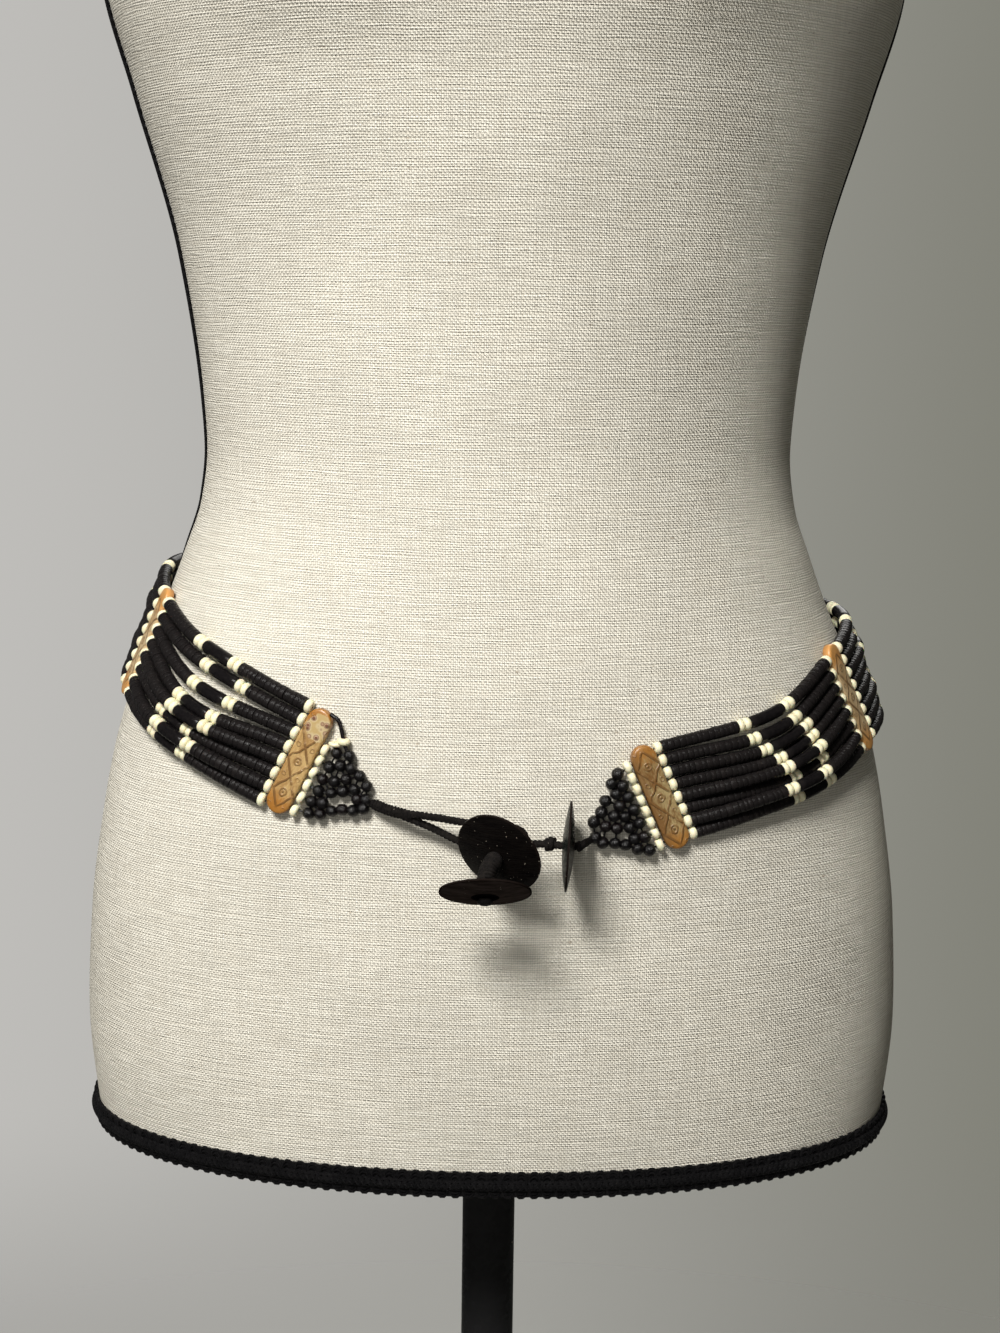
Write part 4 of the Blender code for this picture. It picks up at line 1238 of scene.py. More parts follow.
@dataclass
class DressForm:
    """The limbless form: its woven cover, neck cap and braids.

    The seams are given by height above the hem, with the left and the right one's angle from the front there.
    """

    shape: FormShape
    sides: int = 288
    levels: int = 190
    top: float = 0.775
    braid_height: float = 11.5 * MM
    braid_drop: float = 1.5 * MM
    seam_top: float = 0.560
    seams: tuple[Triple, ...] = (
        (0.000, 101.0, 104.0), (0.150, 100.0, 103.0), (0.214, 95.0, 98.0), (0.274, 89.0, 95.0),
        (0.370, 84.0, 91.0), (0.445, 82.0, 89.0), (0.560, 82.0, 89.0),
    )

    def __post_init__(self) -> None:
        """Draws the two seam lines."""
        heights = [row[0] for row in self.seams]
        self.seam_lines = {Side.LEFT: smooth_line(heights, [row[1] for row in self.seams]),
                           Side.RIGHT: smooth_line(heights, [row[2] for row in self.seams])}

    def build(self) -> None:
        """Makes the cover, the cap and the braids."""
        self.build_cover()
        self.build_neck_cap()
        self.build_braids()

    def build_cover(self) -> None:
        """The linen cover, with its threads laid level across the front and the back."""
        angles = np.linspace(-180.0, 180.0, self.sides, endpoint=False)
        heights = np.linspace(0.0, self.top, self.levels)
        rings = np.stack([self.shape.ring(height, angles) for height in heights])
        steps = np.linalg.norm(np.roll(rings, -1, 1) - rings, axis=2)
        arcs = np.cumsum(steps, axis=1) - steps
        arcs -= arcs[:, self.sides // 2, None]
        girths = steps.sum(axis=1)
        lay = np.zeros_like(rings)
        for row, height in enumerate(heights):
            left, right = (self.seam_lines[side](height) for side in Side)
            back = np.abs(angles) > np.where(angles < 0, left, right)
            lay[row, :, 0] = np.where(back, arcs[row] - np.sign(angles) * girths[row] / 2, arcs[row]) / MM
        lay[..., 1] = (rings[..., 2] - HEM_HEIGHT) / MM
        moulding = Moulding("linen_cover")
        moulding.rings(rings, lay)
        cover = moulding.piece(LinenFinish().material(), Slot.LINEN, "torso", sharp=50.0)

    def build_neck_cap(self) -> None:
        """The turned cap that closes the neck."""
        angles = np.linspace(0.0, 360.0, 128, endpoint=False)
        ring, ways = self.shape.ring(self.top, angles), self.shape.level_ways(self.top, angles)
        profile = ((0.0, 0.0), (1.2, 0.2), (1.9, 0.9), (2.0, 2.2), (1.6, 3.3), (0.2, 4.6), (-2.0, 6.4),
                   (-4.0, 8.6), (-6.5, 9.7), (-14.0, 10.0))
        rings = np.stack([ring + ways * out * MM for out, _ in profile])
        rings[..., 2] = HEM_HEIGHT + self.top + SEAM_GAP + np.array([up for _, up in profile])[:, None] * MM
        moulding = Moulding("turned_neck_cap")
        moulding.rings(rings)
        moulding.piece(EnamelFinish("black_cap").material(), Slot.STAND, "neck_cap")

    def build_braids(self) -> None:
        """The scroll braid round the hem and the narrow one up each side seam."""
        finish = BraidFinish().material()
        half = self.braid_height / 2
        ScrollBraid("hem_scroll_braid", HemPath(self.shape), half, half - self.braid_drop, scallop=4.9 * MM,
                    cord_radius=0.80 * MM, lift=1.2 * MM, looped=True,
                    plait_radius=0.95 * MM).build(finish, "hem_braid")
        foot = self.braid_height - self.braid_drop + 2 * SEAM_GAP
        for side, sign in ((Side.LEFT, -1), (Side.RIGHT, 1)):
            path = SeamPath(self.shape, self.seam_lines[side], sign, foot, self.seam_top)
            ScrollBraid(f"seam_scroll_braid_{side.value}", path, 3.5 * MM, 0.0, scallop=3.3 * MM,
                        cord_radius=0.42 * MM, lift=0.5 * MM, looped=False, plait_radius=0.45 * MM,
                        steps=9).build(finish, f"seam_braid_{side.value}")


@dataclass
class Stand:
    """The round base plate, the pole and the collar under the form."""

    base_radius: float = 0.160
    base_thickness: float = 0.014
    pole_radius: float = 0.011
    collar_radius: float = 0.034
    collar_height: float = 0.009
    sides: int = 96

    def build(self) -> None:
        """Makes the three turned pieces."""
        finish = EnamelFinish().material()
        rim, flat = self.base_radius, self.base_thickness
        boss, top = self.pole_radius + 0.012, self.base_thickness + 0.010
        base = [(rim - 0.0012, 0.0), (rim, 0.0012), (rim, flat - 0.0050), (rim - 0.0008, flat - 0.0030),
                (rim - 0.0024, flat - 0.0010), (rim - 0.0048, flat), (boss + 0.030, flat + 0.0004),
                (boss + 0.010, flat + 0.0008), (boss + 0.0045, flat + 0.0024), (boss + 0.0008, flat + 0.0062),
                (boss, flat + 0.0086), (boss - 0.0012, top), (self.pole_radius + 0.0006, top)]
        foot = HEM_HEIGHT - self.collar_height
        pole = [(self.pole_radius - 0.0004, top + SEAM_GAP), (self.pole_radius, top + SEAM_GAP + 0.0004),
                (self.pole_radius, foot - 0.0007), (self.pole_radius - 0.0004, foot - SEAM_GAP)]
        wide = self.collar_radius
        collar = [(wide - 0.0016, foot), (wide - 0.0004, foot + 0.0004), (wide, foot + 0.0016),
                  (wide, HEM_HEIGHT - SEAM_GAP)]
        for name, node, profile in (("turned_base", "base", base), ("tube_pole", "pole", pole),
                                    ("turned_collar", "collar", collar)):
            moulding = Moulding(name)
            moulding.rings(lathed(profile, self.sides))
            moulding.piece(finish, Slot.STAND, node, sharp=30.0)


# The belt


@dataclass
class SpacerBar:
    """A flat bone bar with round ends, through which the eight strings run."""

    line: BeltLine
    length: float
    pitch: float
    half_length: float
    turn: float
    half_width: float = 4.8 * MM
    thickness: float = 3.6 * MM
    gap: float = 0.6 * MM

    def __post_init__(self) -> None:
        """Seats the bar on the form."""
        spot, along, up, self.out = self.line.frame(self.length)
        turn = Matrix.Rotation(math.radians(self.turn), 3, self.out)
        self.along, self.up = turn @ along, turn @ up
        half = self.thickness / 2
        self.centre = spot + self.out * (self.gap + half)
        self.centre += self.out * max(0.0, self.gap - self.least_gap(half))

    def least_gap(self, half: float) -> float:
        """The smallest gap between the bar's underside and the form."""
        spots = [self.point(side * self.half_width, rise * self.half_length) - self.out * half
                 for rise in (-1.0, -0.5, 0.0, 0.5, 1.0) for side in (-1.0, 0.0, 1.0)]
        return min((spot - self.line.form.beside(spot)).dot(self.out) for spot in spots)

    def point(self, along: float, up: float, out: float = 0.0) -> Vector:
        """A point given in the bar's own ways."""
        return self.centre + self.along * along + self.up * up + self.out * out

    def rise(self, string: int) -> float:
        """How far above the bar's middle a string runs, counted from the top."""
        return (3.5 - string) * self.pitch

    def outline(self, inset: float) -> Array:
        """The points of the bar's outline, drawn in by an inset."""
        radius, straight = self.half_width - inset, self.half_length - self.half_width
        turns = np.pi * np.arange(15) / 14
        x, y = radius * np.cos(turns), straight + radius * np.sin(turns)
        flank = np.linspace(straight, -straight, 9)[1:-1]
        left = np.stack([np.full(7, -radius), flank], axis=1)
        half = np.concatenate([np.stack([x, y], axis=1), left])
        return np.concatenate([half, -half])

    def build(self, number: int, finish: Material) -> None:
        """Makes the bar, with rubbed edges and a slightly crowned face.

        Args:
            number: Its number from the left end, which also makes its unevenness its own.
            finish: Its material.
        """
        half, rng = self.thickness / 2, np.random.default_rng(number - 1)
        steps = ((4.4, -half), (1.0, -half), (0.35, -half + 0.1 * MM), (0.08, -half + 0.35 * MM),
                 (0.0, -half + 0.8 * MM), (0.0, half - 1.1 * MM), (0.12, half - 0.55 * MM),
                 (0.42, half - 0.22 * MM), (0.95, half - 0.07 * MM), (1.9, half), (3.2, half + 0.06 * MM),
                 (4.5, half + 0.08 * MM))
        outlines = [(self.outline(inset * MM), height) for inset, height in steps]
        shape = np.stack([np.column_stack([flat, np.full(len(flat), height)]) for flat, height in outlines])
        wobble = rng.uniform(-1, 1, 4)
        shape[..., 0] += 0.10 * MM * np.sin(shape[..., 1] / (7 * MM) + wobble[0] * 3) * wobble[1]
        shape[..., 2] += 0.06 * MM * np.sin(shape[..., 1] / (9 * MM) + wobble[2] * 3) * wobble[3]
        turn = np.array(Matrix((self.along, self.up, self.out)).transposed())
        moulding = Moulding(f"bone_bar_{number}")
        moulding.rings(shape @ turn.T + np.array(self.centre), shape / MM)
        moulding.piece(finish, Slot.BONE, f"bar_{number}", sharp=60.0)


# How far each string strays up and out in the middle of a panel, in millimetres, from the top string down
LEFT_STRAYS = ((1.7, 0.0), (1.4, 0.0), (-1.5, 0.0), (-3.3, 0.6),
               (-1.5, 3.6), (-1.2, 0.0), (1.1, 4.0), (1.7, 0.0))
BACK_STRAYS = ((0.5, 0.0), (0.3, 0.0), (-0.2, 1.2), (-0.5, 0.0),
               (-0.6, 0.0), (-0.7, 0.8), (-0.8, 0.0), (-1.0, 0.0))
RIGHT_STRAYS = ((0.0, 0.0), (-1.1, 0.0), (-1.3, 0.0), (-1.0, 0.0),
                (0.7, 3.5), (0.4, 0.0), (3.2, 4.4), (3.4, 0.0))


@dataclass(frozen=True)
class Panel:
    """A stretch of strings between two bars.

    It has the strings' strays, how far it bulges in millimetres, and where each string's near and far pair of
    cream beads stand, in hundredths of its length.
    """

    strays: tuple[Pair, ...]
    bulge: float
    near: tuple[int, ...]
    far: tuple[int, ...]


@dataclass
class Run:
    """One string between two bars, which leave room for beads as their pitches say."""

    route: Route
    start_pitch: float
    end_pitch: float
    gap: float

    def widest(self, middle: float, radius: float) -> float:
        """The largest bead that the strings' pitch leaves room for."""
        share = middle / self.route.length
        return min(radius, (self.start_pitch * (1 - share) + self.end_pitch * share - self.gap) / 2)


def rondelle(roundness: float, sides: int, hole: float) -> Moulding:
    """A pattern for a bead with a hole, of unit radius and length, whose rim is as round as asked.

    Args:
        roundness: The share of the length that the rounding takes, up to 1.
        sides: How many sides it has.
        hole: The radius of its hole.

    Returns:
        The pattern.
    """
    bend = 0.5 * roundness
    depth = min(bend, 0.45)
    quarter = 3 if roundness > 0.5 else 2
    turns = [math.pi / 2 * i / quarter for i in range(1, quarter + 1)]
    profile = [(hole, -0.5), (1 - depth, -0.5)]
    profile += [(1 - depth + depth * math.sin(turn), -0.5 + bend - bend * math.cos(turn)) for turn in turns]
    profile += [(reach, -height) for reach, height in reversed(profile)]
    rings = lathed(profile, sides)
    lay = rings / MM
    lay[..., 2] = np.hypot(rings[..., 0], rings[..., 1]) / MM
    pattern = Moulding("rondelle")
    pattern.rings(rings, lay, looped=True)
    return pattern


def round_bead(sides: int, rings: int) -> Moulding:
    """A pattern for a round bead of unit radius.

    Args:
        sides: How many sides it has.
        rings: How many rings it has from hole to hole.

    Returns:
        The pattern.
    """
    turns = np.linspace(-1.32, 1.32, rings)
    shape = lathed([(math.cos(turn), 0.96 * math.sin(turn)) for turn in turns], sides)
    pattern = Moulding("round bead")
    pattern.rings(shape, shape / MM)
    return pattern


@dataclass
class BeadStrings:
    """The eight strings of disc beads in their three sections, with the cream rondelles on them."""

    line: BeltLine
    bars: list[SpacerBar]
    panels: tuple[Panel, ...] = (
        Panel(LEFT_STRAYS, 0.9, (40, 32, 34, 38, 37, 47, 40, 44), (62, 53, 55, 59, 57, 65, 60, 64)),
        Panel(BACK_STRAYS, 2.5, (37, 39, 36, 40, 38, 41, 37, 39), (62, 64, 61, 65, 63, 66, 62, 64)),
        Panel(BACK_STRAYS, 1.0, (38, 36, 39, 37, 40, 37, 38, 36), (63, 61, 64, 62, 65, 62, 63, 61)),
        Panel(BACK_STRAYS, 0.6, (37, 39, 37, 36, 38, 40, 38, 37), (62, 64, 62, 61, 63, 65, 63, 62)),
        Panel(BACK_STRAYS, 1.0, (39, 37, 36, 38, 37, 39, 36, 38), (64, 62, 61, 63, 62, 64, 61, 63)),
        Panel(BACK_STRAYS, 2.5, (36, 38, 40, 37, 39, 36, 38, 37), (61, 63, 65, 62, 64, 61, 63, 62)),
        Panel(RIGHT_STRAYS, 0.7, (35, 34, 30, 29, 30, 29, 34, 30), (59, 57, 54, 49, 50, 46, 53, 49)),
    )
    sections: tuple[tuple[str, int, int], ...] = (("left", 0, 2), ("back", 2, 5), ("right", 5, 7))
    disc_radius: float = 2.62 * MM
    disc_length: float = 2.15 * MM
    cream_radius: float = 2.72 * MM
    cream_length: float = 2.85 * MM
    string_gap: float = 0.3 * MM
    thread_radius: float = 0.45 * MM

    def __post_init__(self) -> None:
        """Makes the patterns that the beads are copied from."""
        self.disc = rondelle(0.14, 14, 0.16)
        self.cream = rondelle(0.92, 20, 0.24)
        self.rng = np.random.default_rng(11)

    def route(self, panel: int, string: int) -> Route:
        """The middle line of a string from one bar's face to the next one's.

        Args:
            panel: The number of the stretch between bars.
            string: The string's number from the top.

        Returns:
            The route.
        """
        start, end, stretch = self.bars[panel], self.bars[panel + 1], self.panels[panel]
        first = start.point(start.half_width, start.rise(string))
        last = end.point(-end.half_width, end.rise(string))
        up_stray, out_stray = (value * MM for value in stretch.strays[string])
        draped, shares = [], [step / 30 for step in range(31)]
        for share in shares:
            length = start.length + start.half_width
            length += share * (end.length - start.length - 2 * start.half_width)
            spot, _, up, _ = self.line.frame(length)
            swing = math.sin(math.pi * share)
            rise = start.rise(string) + share * (end.rise(string) - start.rise(string))
            side = spot + up * (rise + up_stray * swing * swing)
            lift = 2.5 * MM + DRAPE_GAP + stretch.bulge * MM * swing * swing + out_stray * swing
            draped.append(self.line.form.beside(side, lift))
        at_first, at_last = first - draped[0], last - draped[-1]
        points = []
        for share, spot in zip(shares, draped):
            ease = share * share * (3 - 2 * share)
            points.append(spot + at_first * (1 - ease) + at_last * ease)
        return Route(np.array(points))

    def thread_discs(self, blacks: Moulding, run: Run, start: float, stop: float) -> None:
        """Threads disc beads along a stretch.

        Args:
            blacks: What they are added to.
            run: The string between two bars.
            start: Where the first one begins.
            stop: Where the last one ends.
        """
        count = max(int(round((stop - start) / self.disc_length)), 1)
        lengths = self.rng.uniform(0.78, 1.22, count)
        lengths *= (stop - start) / lengths.sum()
        place = start
        for length in lengths:
            middle = place + length / 2
            place += length
            radius = run.widest(middle, self.disc_radius) * self.rng.uniform(0.955, 1.01)
            self.thread_bead(blacks, self.disc, run, middle, radius, length - 0.05 * MM)

    def thread_cream(self, creams: Moulding, run: Run, middle: float, length: float) -> None:
        """Threads one cream rondelle."""
        radius = run.widest(middle, self.cream_radius) * self.rng.uniform(0.96, 1.02)
        self.thread_bead(creams, self.cream, run, middle, radius, length)

    def thread_bead(self, moulding: Moulding, bead: Moulding, run: Run, middle: float, radius: float,
                    length: float) -> None:
        """Threads one bead, a little askew.

        Args:
            moulding: What it is added to.
            bead: Its pattern.
            run: The string between two bars.
            middle: Where its middle stands.
            radius: Its radius.
            length: Its length along the thread.
        """
        askew = 0.045 if bead is self.disc else 0.07
        lean = tuple(self.rng.uniform(-askew, askew, 2))
        where = run.route.place(middle, self.rng.uniform(0, 6.28), lean)
        moulding.copy(bead, sized(where, radius, length), self.rng.uniform(0, 1))

    def thread_tube(self, blacks: Moulding, run: Run, start: float, stop: float) -> None:
        """Threads the smooth stretch between a panel's two cream pairs.

        Args:
            blacks: What it is added to.
            run: The string between two bars.
            start: Where it begins.
            stop: Where it ends.
        """
        line = run.route.between(start, stop, 12)
        radii = np.full(len(line), run.widest((start + stop) / 2, self.disc_radius) * 0.97)
        radii[[0, -1]] *= 0.86
        radii[1:-1] *= 1 - 0.012 * self.rng.uniform(0, 1, len(line) - 2)
        blacks.rings(tube_rings(line, radii, 18), tint=self.rng.uniform(0, 0.5))

    def string(self, blacks: Moulding, creams: Moulding, panel: int, string: int) -> None:
        """Threads one string of a panel.

        Args:
            blacks: What its black beads are added to.
            creams: What its cream beads are added to.
            panel: The number of the stretch between bars.
            string: The string's number from the top.
        """
        first, last, stretch = self.bars[panel], self.bars[panel + 1], self.panels[panel]
        run = Run(self.route(panel, string), first.pitch, last.pitch, self.string_gap)
        whole, wide, end = run.route.length, self.cream_length, 0.1 * MM
        near, far = (places[string] / 100 * whole for places in (stretch.near, stretch.far))
        for middle in (end + wide / 2, whole - end - wide / 2):
            self.thread_cream(creams, run, middle, wide)
        for middle in (near - wide / 2, near + wide / 2, far - wide / 2, far + wide / 2):
            self.thread_cream(creams, run, middle, wide * 0.99)
        self.thread_discs(blacks, run, end + wide, near - wide)
        self.thread_tube(blacks, run, near + wide, far - wide)
        self.thread_discs(blacks, run, far + wide, whole - end - wide)
        blacks.thread(run.route.between(0.0, whole, 30), self.thread_radius)

    def build(self) -> None:
        """Makes every section of every string, and the cream beads of each section."""
        black, cream = DiscBeadFinish().material(), CreamBeadFinish().material()
        for section, first, last in self.sections:
            creams = Moulding(f"cream_rondelles_{section}")
            for string in range(8):
                blacks = Moulding(f"disc_string_{section}_{string + 1}")
                for panel in range(first, last):
                    self.string(blacks, creams, panel, string)
                    if panel > first:
                        blacks.thread(self.through_bar(self.bars[panel], string), self.thread_radius)
                blacks.piece(black, Slot.DISC_BEAD, f"string_{section}_{string + 1}", sharp=35.0)
            creams.piece(cream, Slot.CREAM_BEAD, sharp=50.0)

    @staticmethod
    def through_bar(bar: SpacerBar, string: int) -> list[Vector]:
        """The line of a thread inside a bar."""
        return [bar.point(share * bar.half_width, bar.rise(string)) for share in (-1, -1 / 3, 1 / 3, 1)]


@dataclass
class BeadNet:
    """The triangular net of round beads at one end of the belt, with its row of cream rondelles.

    Beads, the strand and loose beads are given in millimetres off the bar's edge and above its middle, and
    cream beads by how far above it they stand. The apex has its angle from the front and its height.
    """

    side: Side
    bar: SpacerBar
    sign: float
    apex_angle: float
    apex_height: float
    beads: tuple[Pair, ...]
    creams: tuple[float, ...]
    strand: tuple[Pair, ...] = ()
    loose: tuple[Triple, ...] = ()
    seat: float = 2.15 * MM
    bead_radius: float = 2.4 * MM
    cream_radius: float = 2.35 * MM
    cream_length: float = 2.7 * MM
    loose_radius: float = 2.5 * MM
    cream_offset: float = 2.1 * MM
    thread_radius: float = 0.4 * MM
    thread_reach: float = 6.4 * MM
    strand_radius: float = 0.8 * MM

    def __post_init__(self) -> None:
        """Finds the net's apex on the form."""
        self.form = self.bar.line.form
        self.lift = self.seat + DRAPE_GAP
        self.apex = self.form.point(self.apex_angle, self.apex_height)
        self.apex += self.form.normal(self.apex_angle, self.apex_height) * self.lift

    def spot(self, away: float, rise: float) -> Vector:
        """A spot over the form, so many millimetres off the bar's edge and above its middle."""
        beside = self.bar.point(self.sign * (self.bar.half_width + away * MM), rise * MM)
        return self.form.beside(beside, self.lift)

    def build(self, black: Material, cream: Material) -> None:
        """Makes the beads in one material, with their threads, and the cream row in the other."""
        rng = np.random.default_rng(5 if self.side is Side.LEFT else 6)
        pattern = round_bead(20, 11)
        moulding = Moulding(f"round_bead_net_{self.side.value}")
        spots = [self.apex] + [self.spot(*bead) for bead in self.beads]
        for spot in spots:
            radius = self.bead_radius * rng.uniform(0.94, 1.03)
            way = (self.bar.up + Vector(rng.uniform(-0.6, 0.6, 3))).normalized()
            place = bead_place(spot + Vector(rng.uniform(-0.2, 0.2, 3)) * MM, way, radius, radius * 0.94)
            moulding.copy(pattern, place, rng.uniform(0, 1))
        self.add_threads(moulding, spots)
        moulding.piece(black, Slot.NET_BEAD, f"net_{self.side.value}", sharp=60.0)
        self.build_creams(cream, rng)

    def add_threads(self, moulding: Moulding, spots: list[Vector]) -> None:
        """Adds the threads between beads that lie close, those from the bar, and the loose strand."""
        pairs = [(a, b) for i, a in enumerate(spots) for b in spots[:i] if (a - b).length < self.thread_reach]
        for rise in self.creams:
            edge = self.bar.point(self.sign * self.bar.half_width * 0.9, rise * MM)
            pairs.append((edge, min(spots, key=lambda spot: (spot - edge).length)))
        for a, b in pairs:
            moulding.thread([a.lerp(b, k / 2) for k in range(3)], self.thread_radius)
        if self.strand:
            strand = curved([self.spot(*place) for place in self.strand], 6)
            moulding.thread(strand, self.strand_radius, 8, 0.9)

    def build_creams(self, cream: Material, rng: np.random.Generator) -> None:
        """The rondelles between the bar and the net, and the two loose ones."""
        pattern = rondelle(0.92, 20, 0.24)
        moulding = Moulding(f"cream_row_beads_{self.side.value}")
        for rise in self.creams:
            aside = self.sign * (self.bar.half_width + self.cream_offset)
            middle = self.bar.point(aside, rise * MM, 0.4 * MM)
            lean = Vector(rng.uniform(-0.12, 0.12, 3))
            way = (self.bar.along * self.sign + lean).normalized()
            place = bead_place(middle, way, self.cream_radius * rng.uniform(0.95, 1.05), self.cream_length)
            moulding.copy(pattern, place, rng.uniform(0, 1))
        for away, rise, width in self.loose:
            place = Matrix.Translation(self.spot(away, rise)) @ Matrix.Rotation(0.12, 4, "Y")
            moulding.copy(pattern, sized(place, self.loose_radius, width * MM), rng.uniform(0, 1))
        moulding.piece(cream, Slot.CREAM_BEAD, f"cream_row_{self.side.value}", sharp=50.0)


@dataclass(frozen=True)
class Lay:
    """How a cord's plies lie: how many, the length of a turn, and the depth of the grooves as a share."""

    plies: int
    pitch: float
    depth: float
    sides: int = 24
    step: float = 0.4 * MM


@dataclass
class ToggleFastening:
    """The loop cord, the toggle with its two discs, and the edge disc on its cord.

    Places are in millimetres from the form's axis and the hem. A disc has its centre and the way it faces.
    """

    left_apex: Vector
    right_apex: Vector
    bead_radius: float = 2.15 * MM
    disc_radius: float = 16.2 * MM
    disc_half: float = 2.2 * MM
    rim_half: float = 0.35 * MM
    hole: float = 1.9 * MM
    cord_radius: float = 1.45 * MM
    wrapped_radius: float = 2.1 * MM
    stem_radius: float = 3.3 * MM
    knot_radius: float = 2.7 * MM
    upper: tuple[Triple, Triple] = ((2.3, -112.5, 139.9), (-0.439, -0.812, -0.384))
    lower: tuple[Triple, Triple] = ((-2.4, -124.0, 129.0), (0.010, -0.527, -0.850))
    edge: tuple[Triple, Triple] = ((26.8, -108.5, 141.6), (-0.998, 0.043, 0.047))
    split: Triple = (-31.1, -97.0, 149.4)
    upper_arm: tuple[Triple, ...] = ((-20.4, -99.8, 149.2), (-9.1, -101.0, 147.7), (0.6, -101.8, 147.0),
                                     (9.1, -101.0, 145.5), (11.4, -98.8, 141.5), (7.6, -97.0, 138.0))
    lower_arm: tuple[Triple, ...] = ((9.6, -97.8, 139.5), (5.6, -96.5, 137.2), (-4.4, -96.4, 137.3),
                                     (-13.0, -96.8, 140.2), (-21.9, -96.6, 144.5))
    knot_spot: Triple = (20.2, -107.7, 142.2)
    past_knot: Triple = (14.4, -106.6, 141.8)

    @staticmethod
    def spot(place: Triple) -> Vector:
        """A point given from the form's axis and the hem, in millimetres."""
        return Vector(place) * MM + Vector((0.0, 0.0, HEM_HEIGHT))

    def cord(self, moulding: Moulding, line: Array, radii: Sequence[float], lay: Lay,
             tint: float = 0.6) -> None:
        """Adds a cord whose plies wind round it.

        Args:
            moulding: What it is added to.
            line: The points of its middle line.
            radii: Its radii, spread evenly along it.
            lay: How its plies lie.
            tint: Its own number.
        """
        route = Route(line)
        places = np.linspace(0.0, route.length, max(int(route.length / lay.step), 4) + 1)
        fine = read_at(places, route.lengths, line)
        given = np.interp(places, np.linspace(0.0, route.length, len(radii)), radii)
        wound = 2 * np.pi * lengths_of(fine)[:, None] / lay.pitch
        phase = lay.plies / 2 * (circle_turns(lay.sides)[None] - wound)
        groove = 1 - lay.depth * (1 - np.abs(np.cos(phase)) ** 0.7)
        moulding.rings(tube_rings(fine, given[:, None] * groove, lay.sides), tint=tint)

    def build_discs(self) -> None:
        """Makes the three lens-shaped horn discs."""
        shares = [0.0, 0.04, 0.15, 0.3, 0.45, 0.6, 0.72, 0.83, 0.92, 0.97, 1.0]
        upper = [(self.hole + (self.disc_radius - self.hole) * share,
                  self.rim_half + (self.disc_half - self.rim_half) * (1 - share**1.6)) for share in shares]
        upper[0] = (self.hole, self.disc_half - 0.25 * MM)
        upper.insert(1, (self.hole + 0.25 * MM, self.disc_half))
        profile = [(radius, -height) for radius, height in upper] + upper[::-1]
        finishes = {
            "upper": HornFinish("black_horn_upper", dust=0.6),
            # The lower disc's paler grey-brown body, without gloss, is painted reflection of the form below
            # it; its dark middle is a painted dark reflection.
            "lower": HornFinish("black_horn_lower", colour=(0.022, 0.016, 0.014),
                                streak=(0.050, 0.038, 0.034), dust=0.3, film=0.006, dark_reflection_radius=5.2, gloss=0.0),
            "edge": HornFinish("black_horn_edge", colour=(0.004, 0.005, 0.0045), streak=(0.012, 0.015, 0.013),
                               dust=0.3, gloss=0.02),
        }
        for name, (centre, facing) in (("upper", self.upper), ("lower", self.lower), ("edge", self.edge)):
            rings = lathed(profile, 112)
            turn = np.array(turned_to(Vector(facing)))
            moulding = Moulding(f"horn_disc_{name}")
            moulding.rings(rings @ turn.T + np.array(self.spot(centre)), rings / MM, looped=True)
            moulding.piece(finishes[name].material(), Slot.DISC, f"disc_{name}", sharp=35.0)

    def build_loop(self) -> None:
        """Makes the wrapped cord from the left net and the loop that it opens into."""
        start = self.left_apex + Vector((self.bead_radius + 2 * SEAM_GAP - 1.2 * MM, -0.0004, -0.0010))
        split = self.spot(self.split)
        stem = curved([start, start.lerp(split, 0.5) + Vector((0.0, -0.0004, -0.0004)),
                       split, split + (split - start).normalized() * 0.0025], 12)
        upper = [split - Vector((0.0012, 0.0, -0.0006)), *map(self.spot, self.upper_arm)]
        lower = [*map(self.spot, self.lower_arm), split - Vector((0.0012, 0.0, 0.0006))]
        moulding = Moulding("loop_of_cord")
        self.cord(moulding, stem, [1.5 * MM, *[self.wrapped_radius] * 6, 1.9 * MM, 1.3 * MM],
                  Lay(1, 1.3 * MM, 0.30, step=0.3 * MM), 0.4)
        for arm in (upper, lower):
            self.cord(moulding, curved(arm, 10), [self.cord_radius] * 8, Lay(3, 5.0 * MM, 0.34))
        moulding.piece(self.waxed, Slot.CORD, "loop_cord", sharp=60.0)

    def knot(self, moulding: Moulding, centre: Vector, way: Vector, radius: float, turns: float) -> None:
        """Adds a knot: a cord wound on itself a few times, a little askew.

        Args:
            moulding: What it is added to.
            centre: Its middle.
            way: The way of the cord through it.
            radius: How wide it is.
            turns: How often the cord goes round.
        """
        place = turned_to(way)
        count = int(turns * 22)
        winding = radius - 1.05 * MM
        spots = []
        for i in range(count + 1):
            turn, share = 2 * math.pi * turns * i / count, i / count
            height = (share - 0.5) * turns * 1.35 * MM + 0.5 * MM * math.sin(turn + 0.6)
            swell = winding * (0.82 + 0.18 * math.sin(math.pi * share))
            spots.append(centre + place @ Vector((swell * math.cos(turn), swell * math.sin(turn), height)))
        self.cord(moulding, np.array(spots), [0.7 * MM, *[1.05 * MM] * 8, 0.7 * MM],
                  Lay(3, 4.6 * MM, 0.2, 16, 0.35 * MM), 0.5)

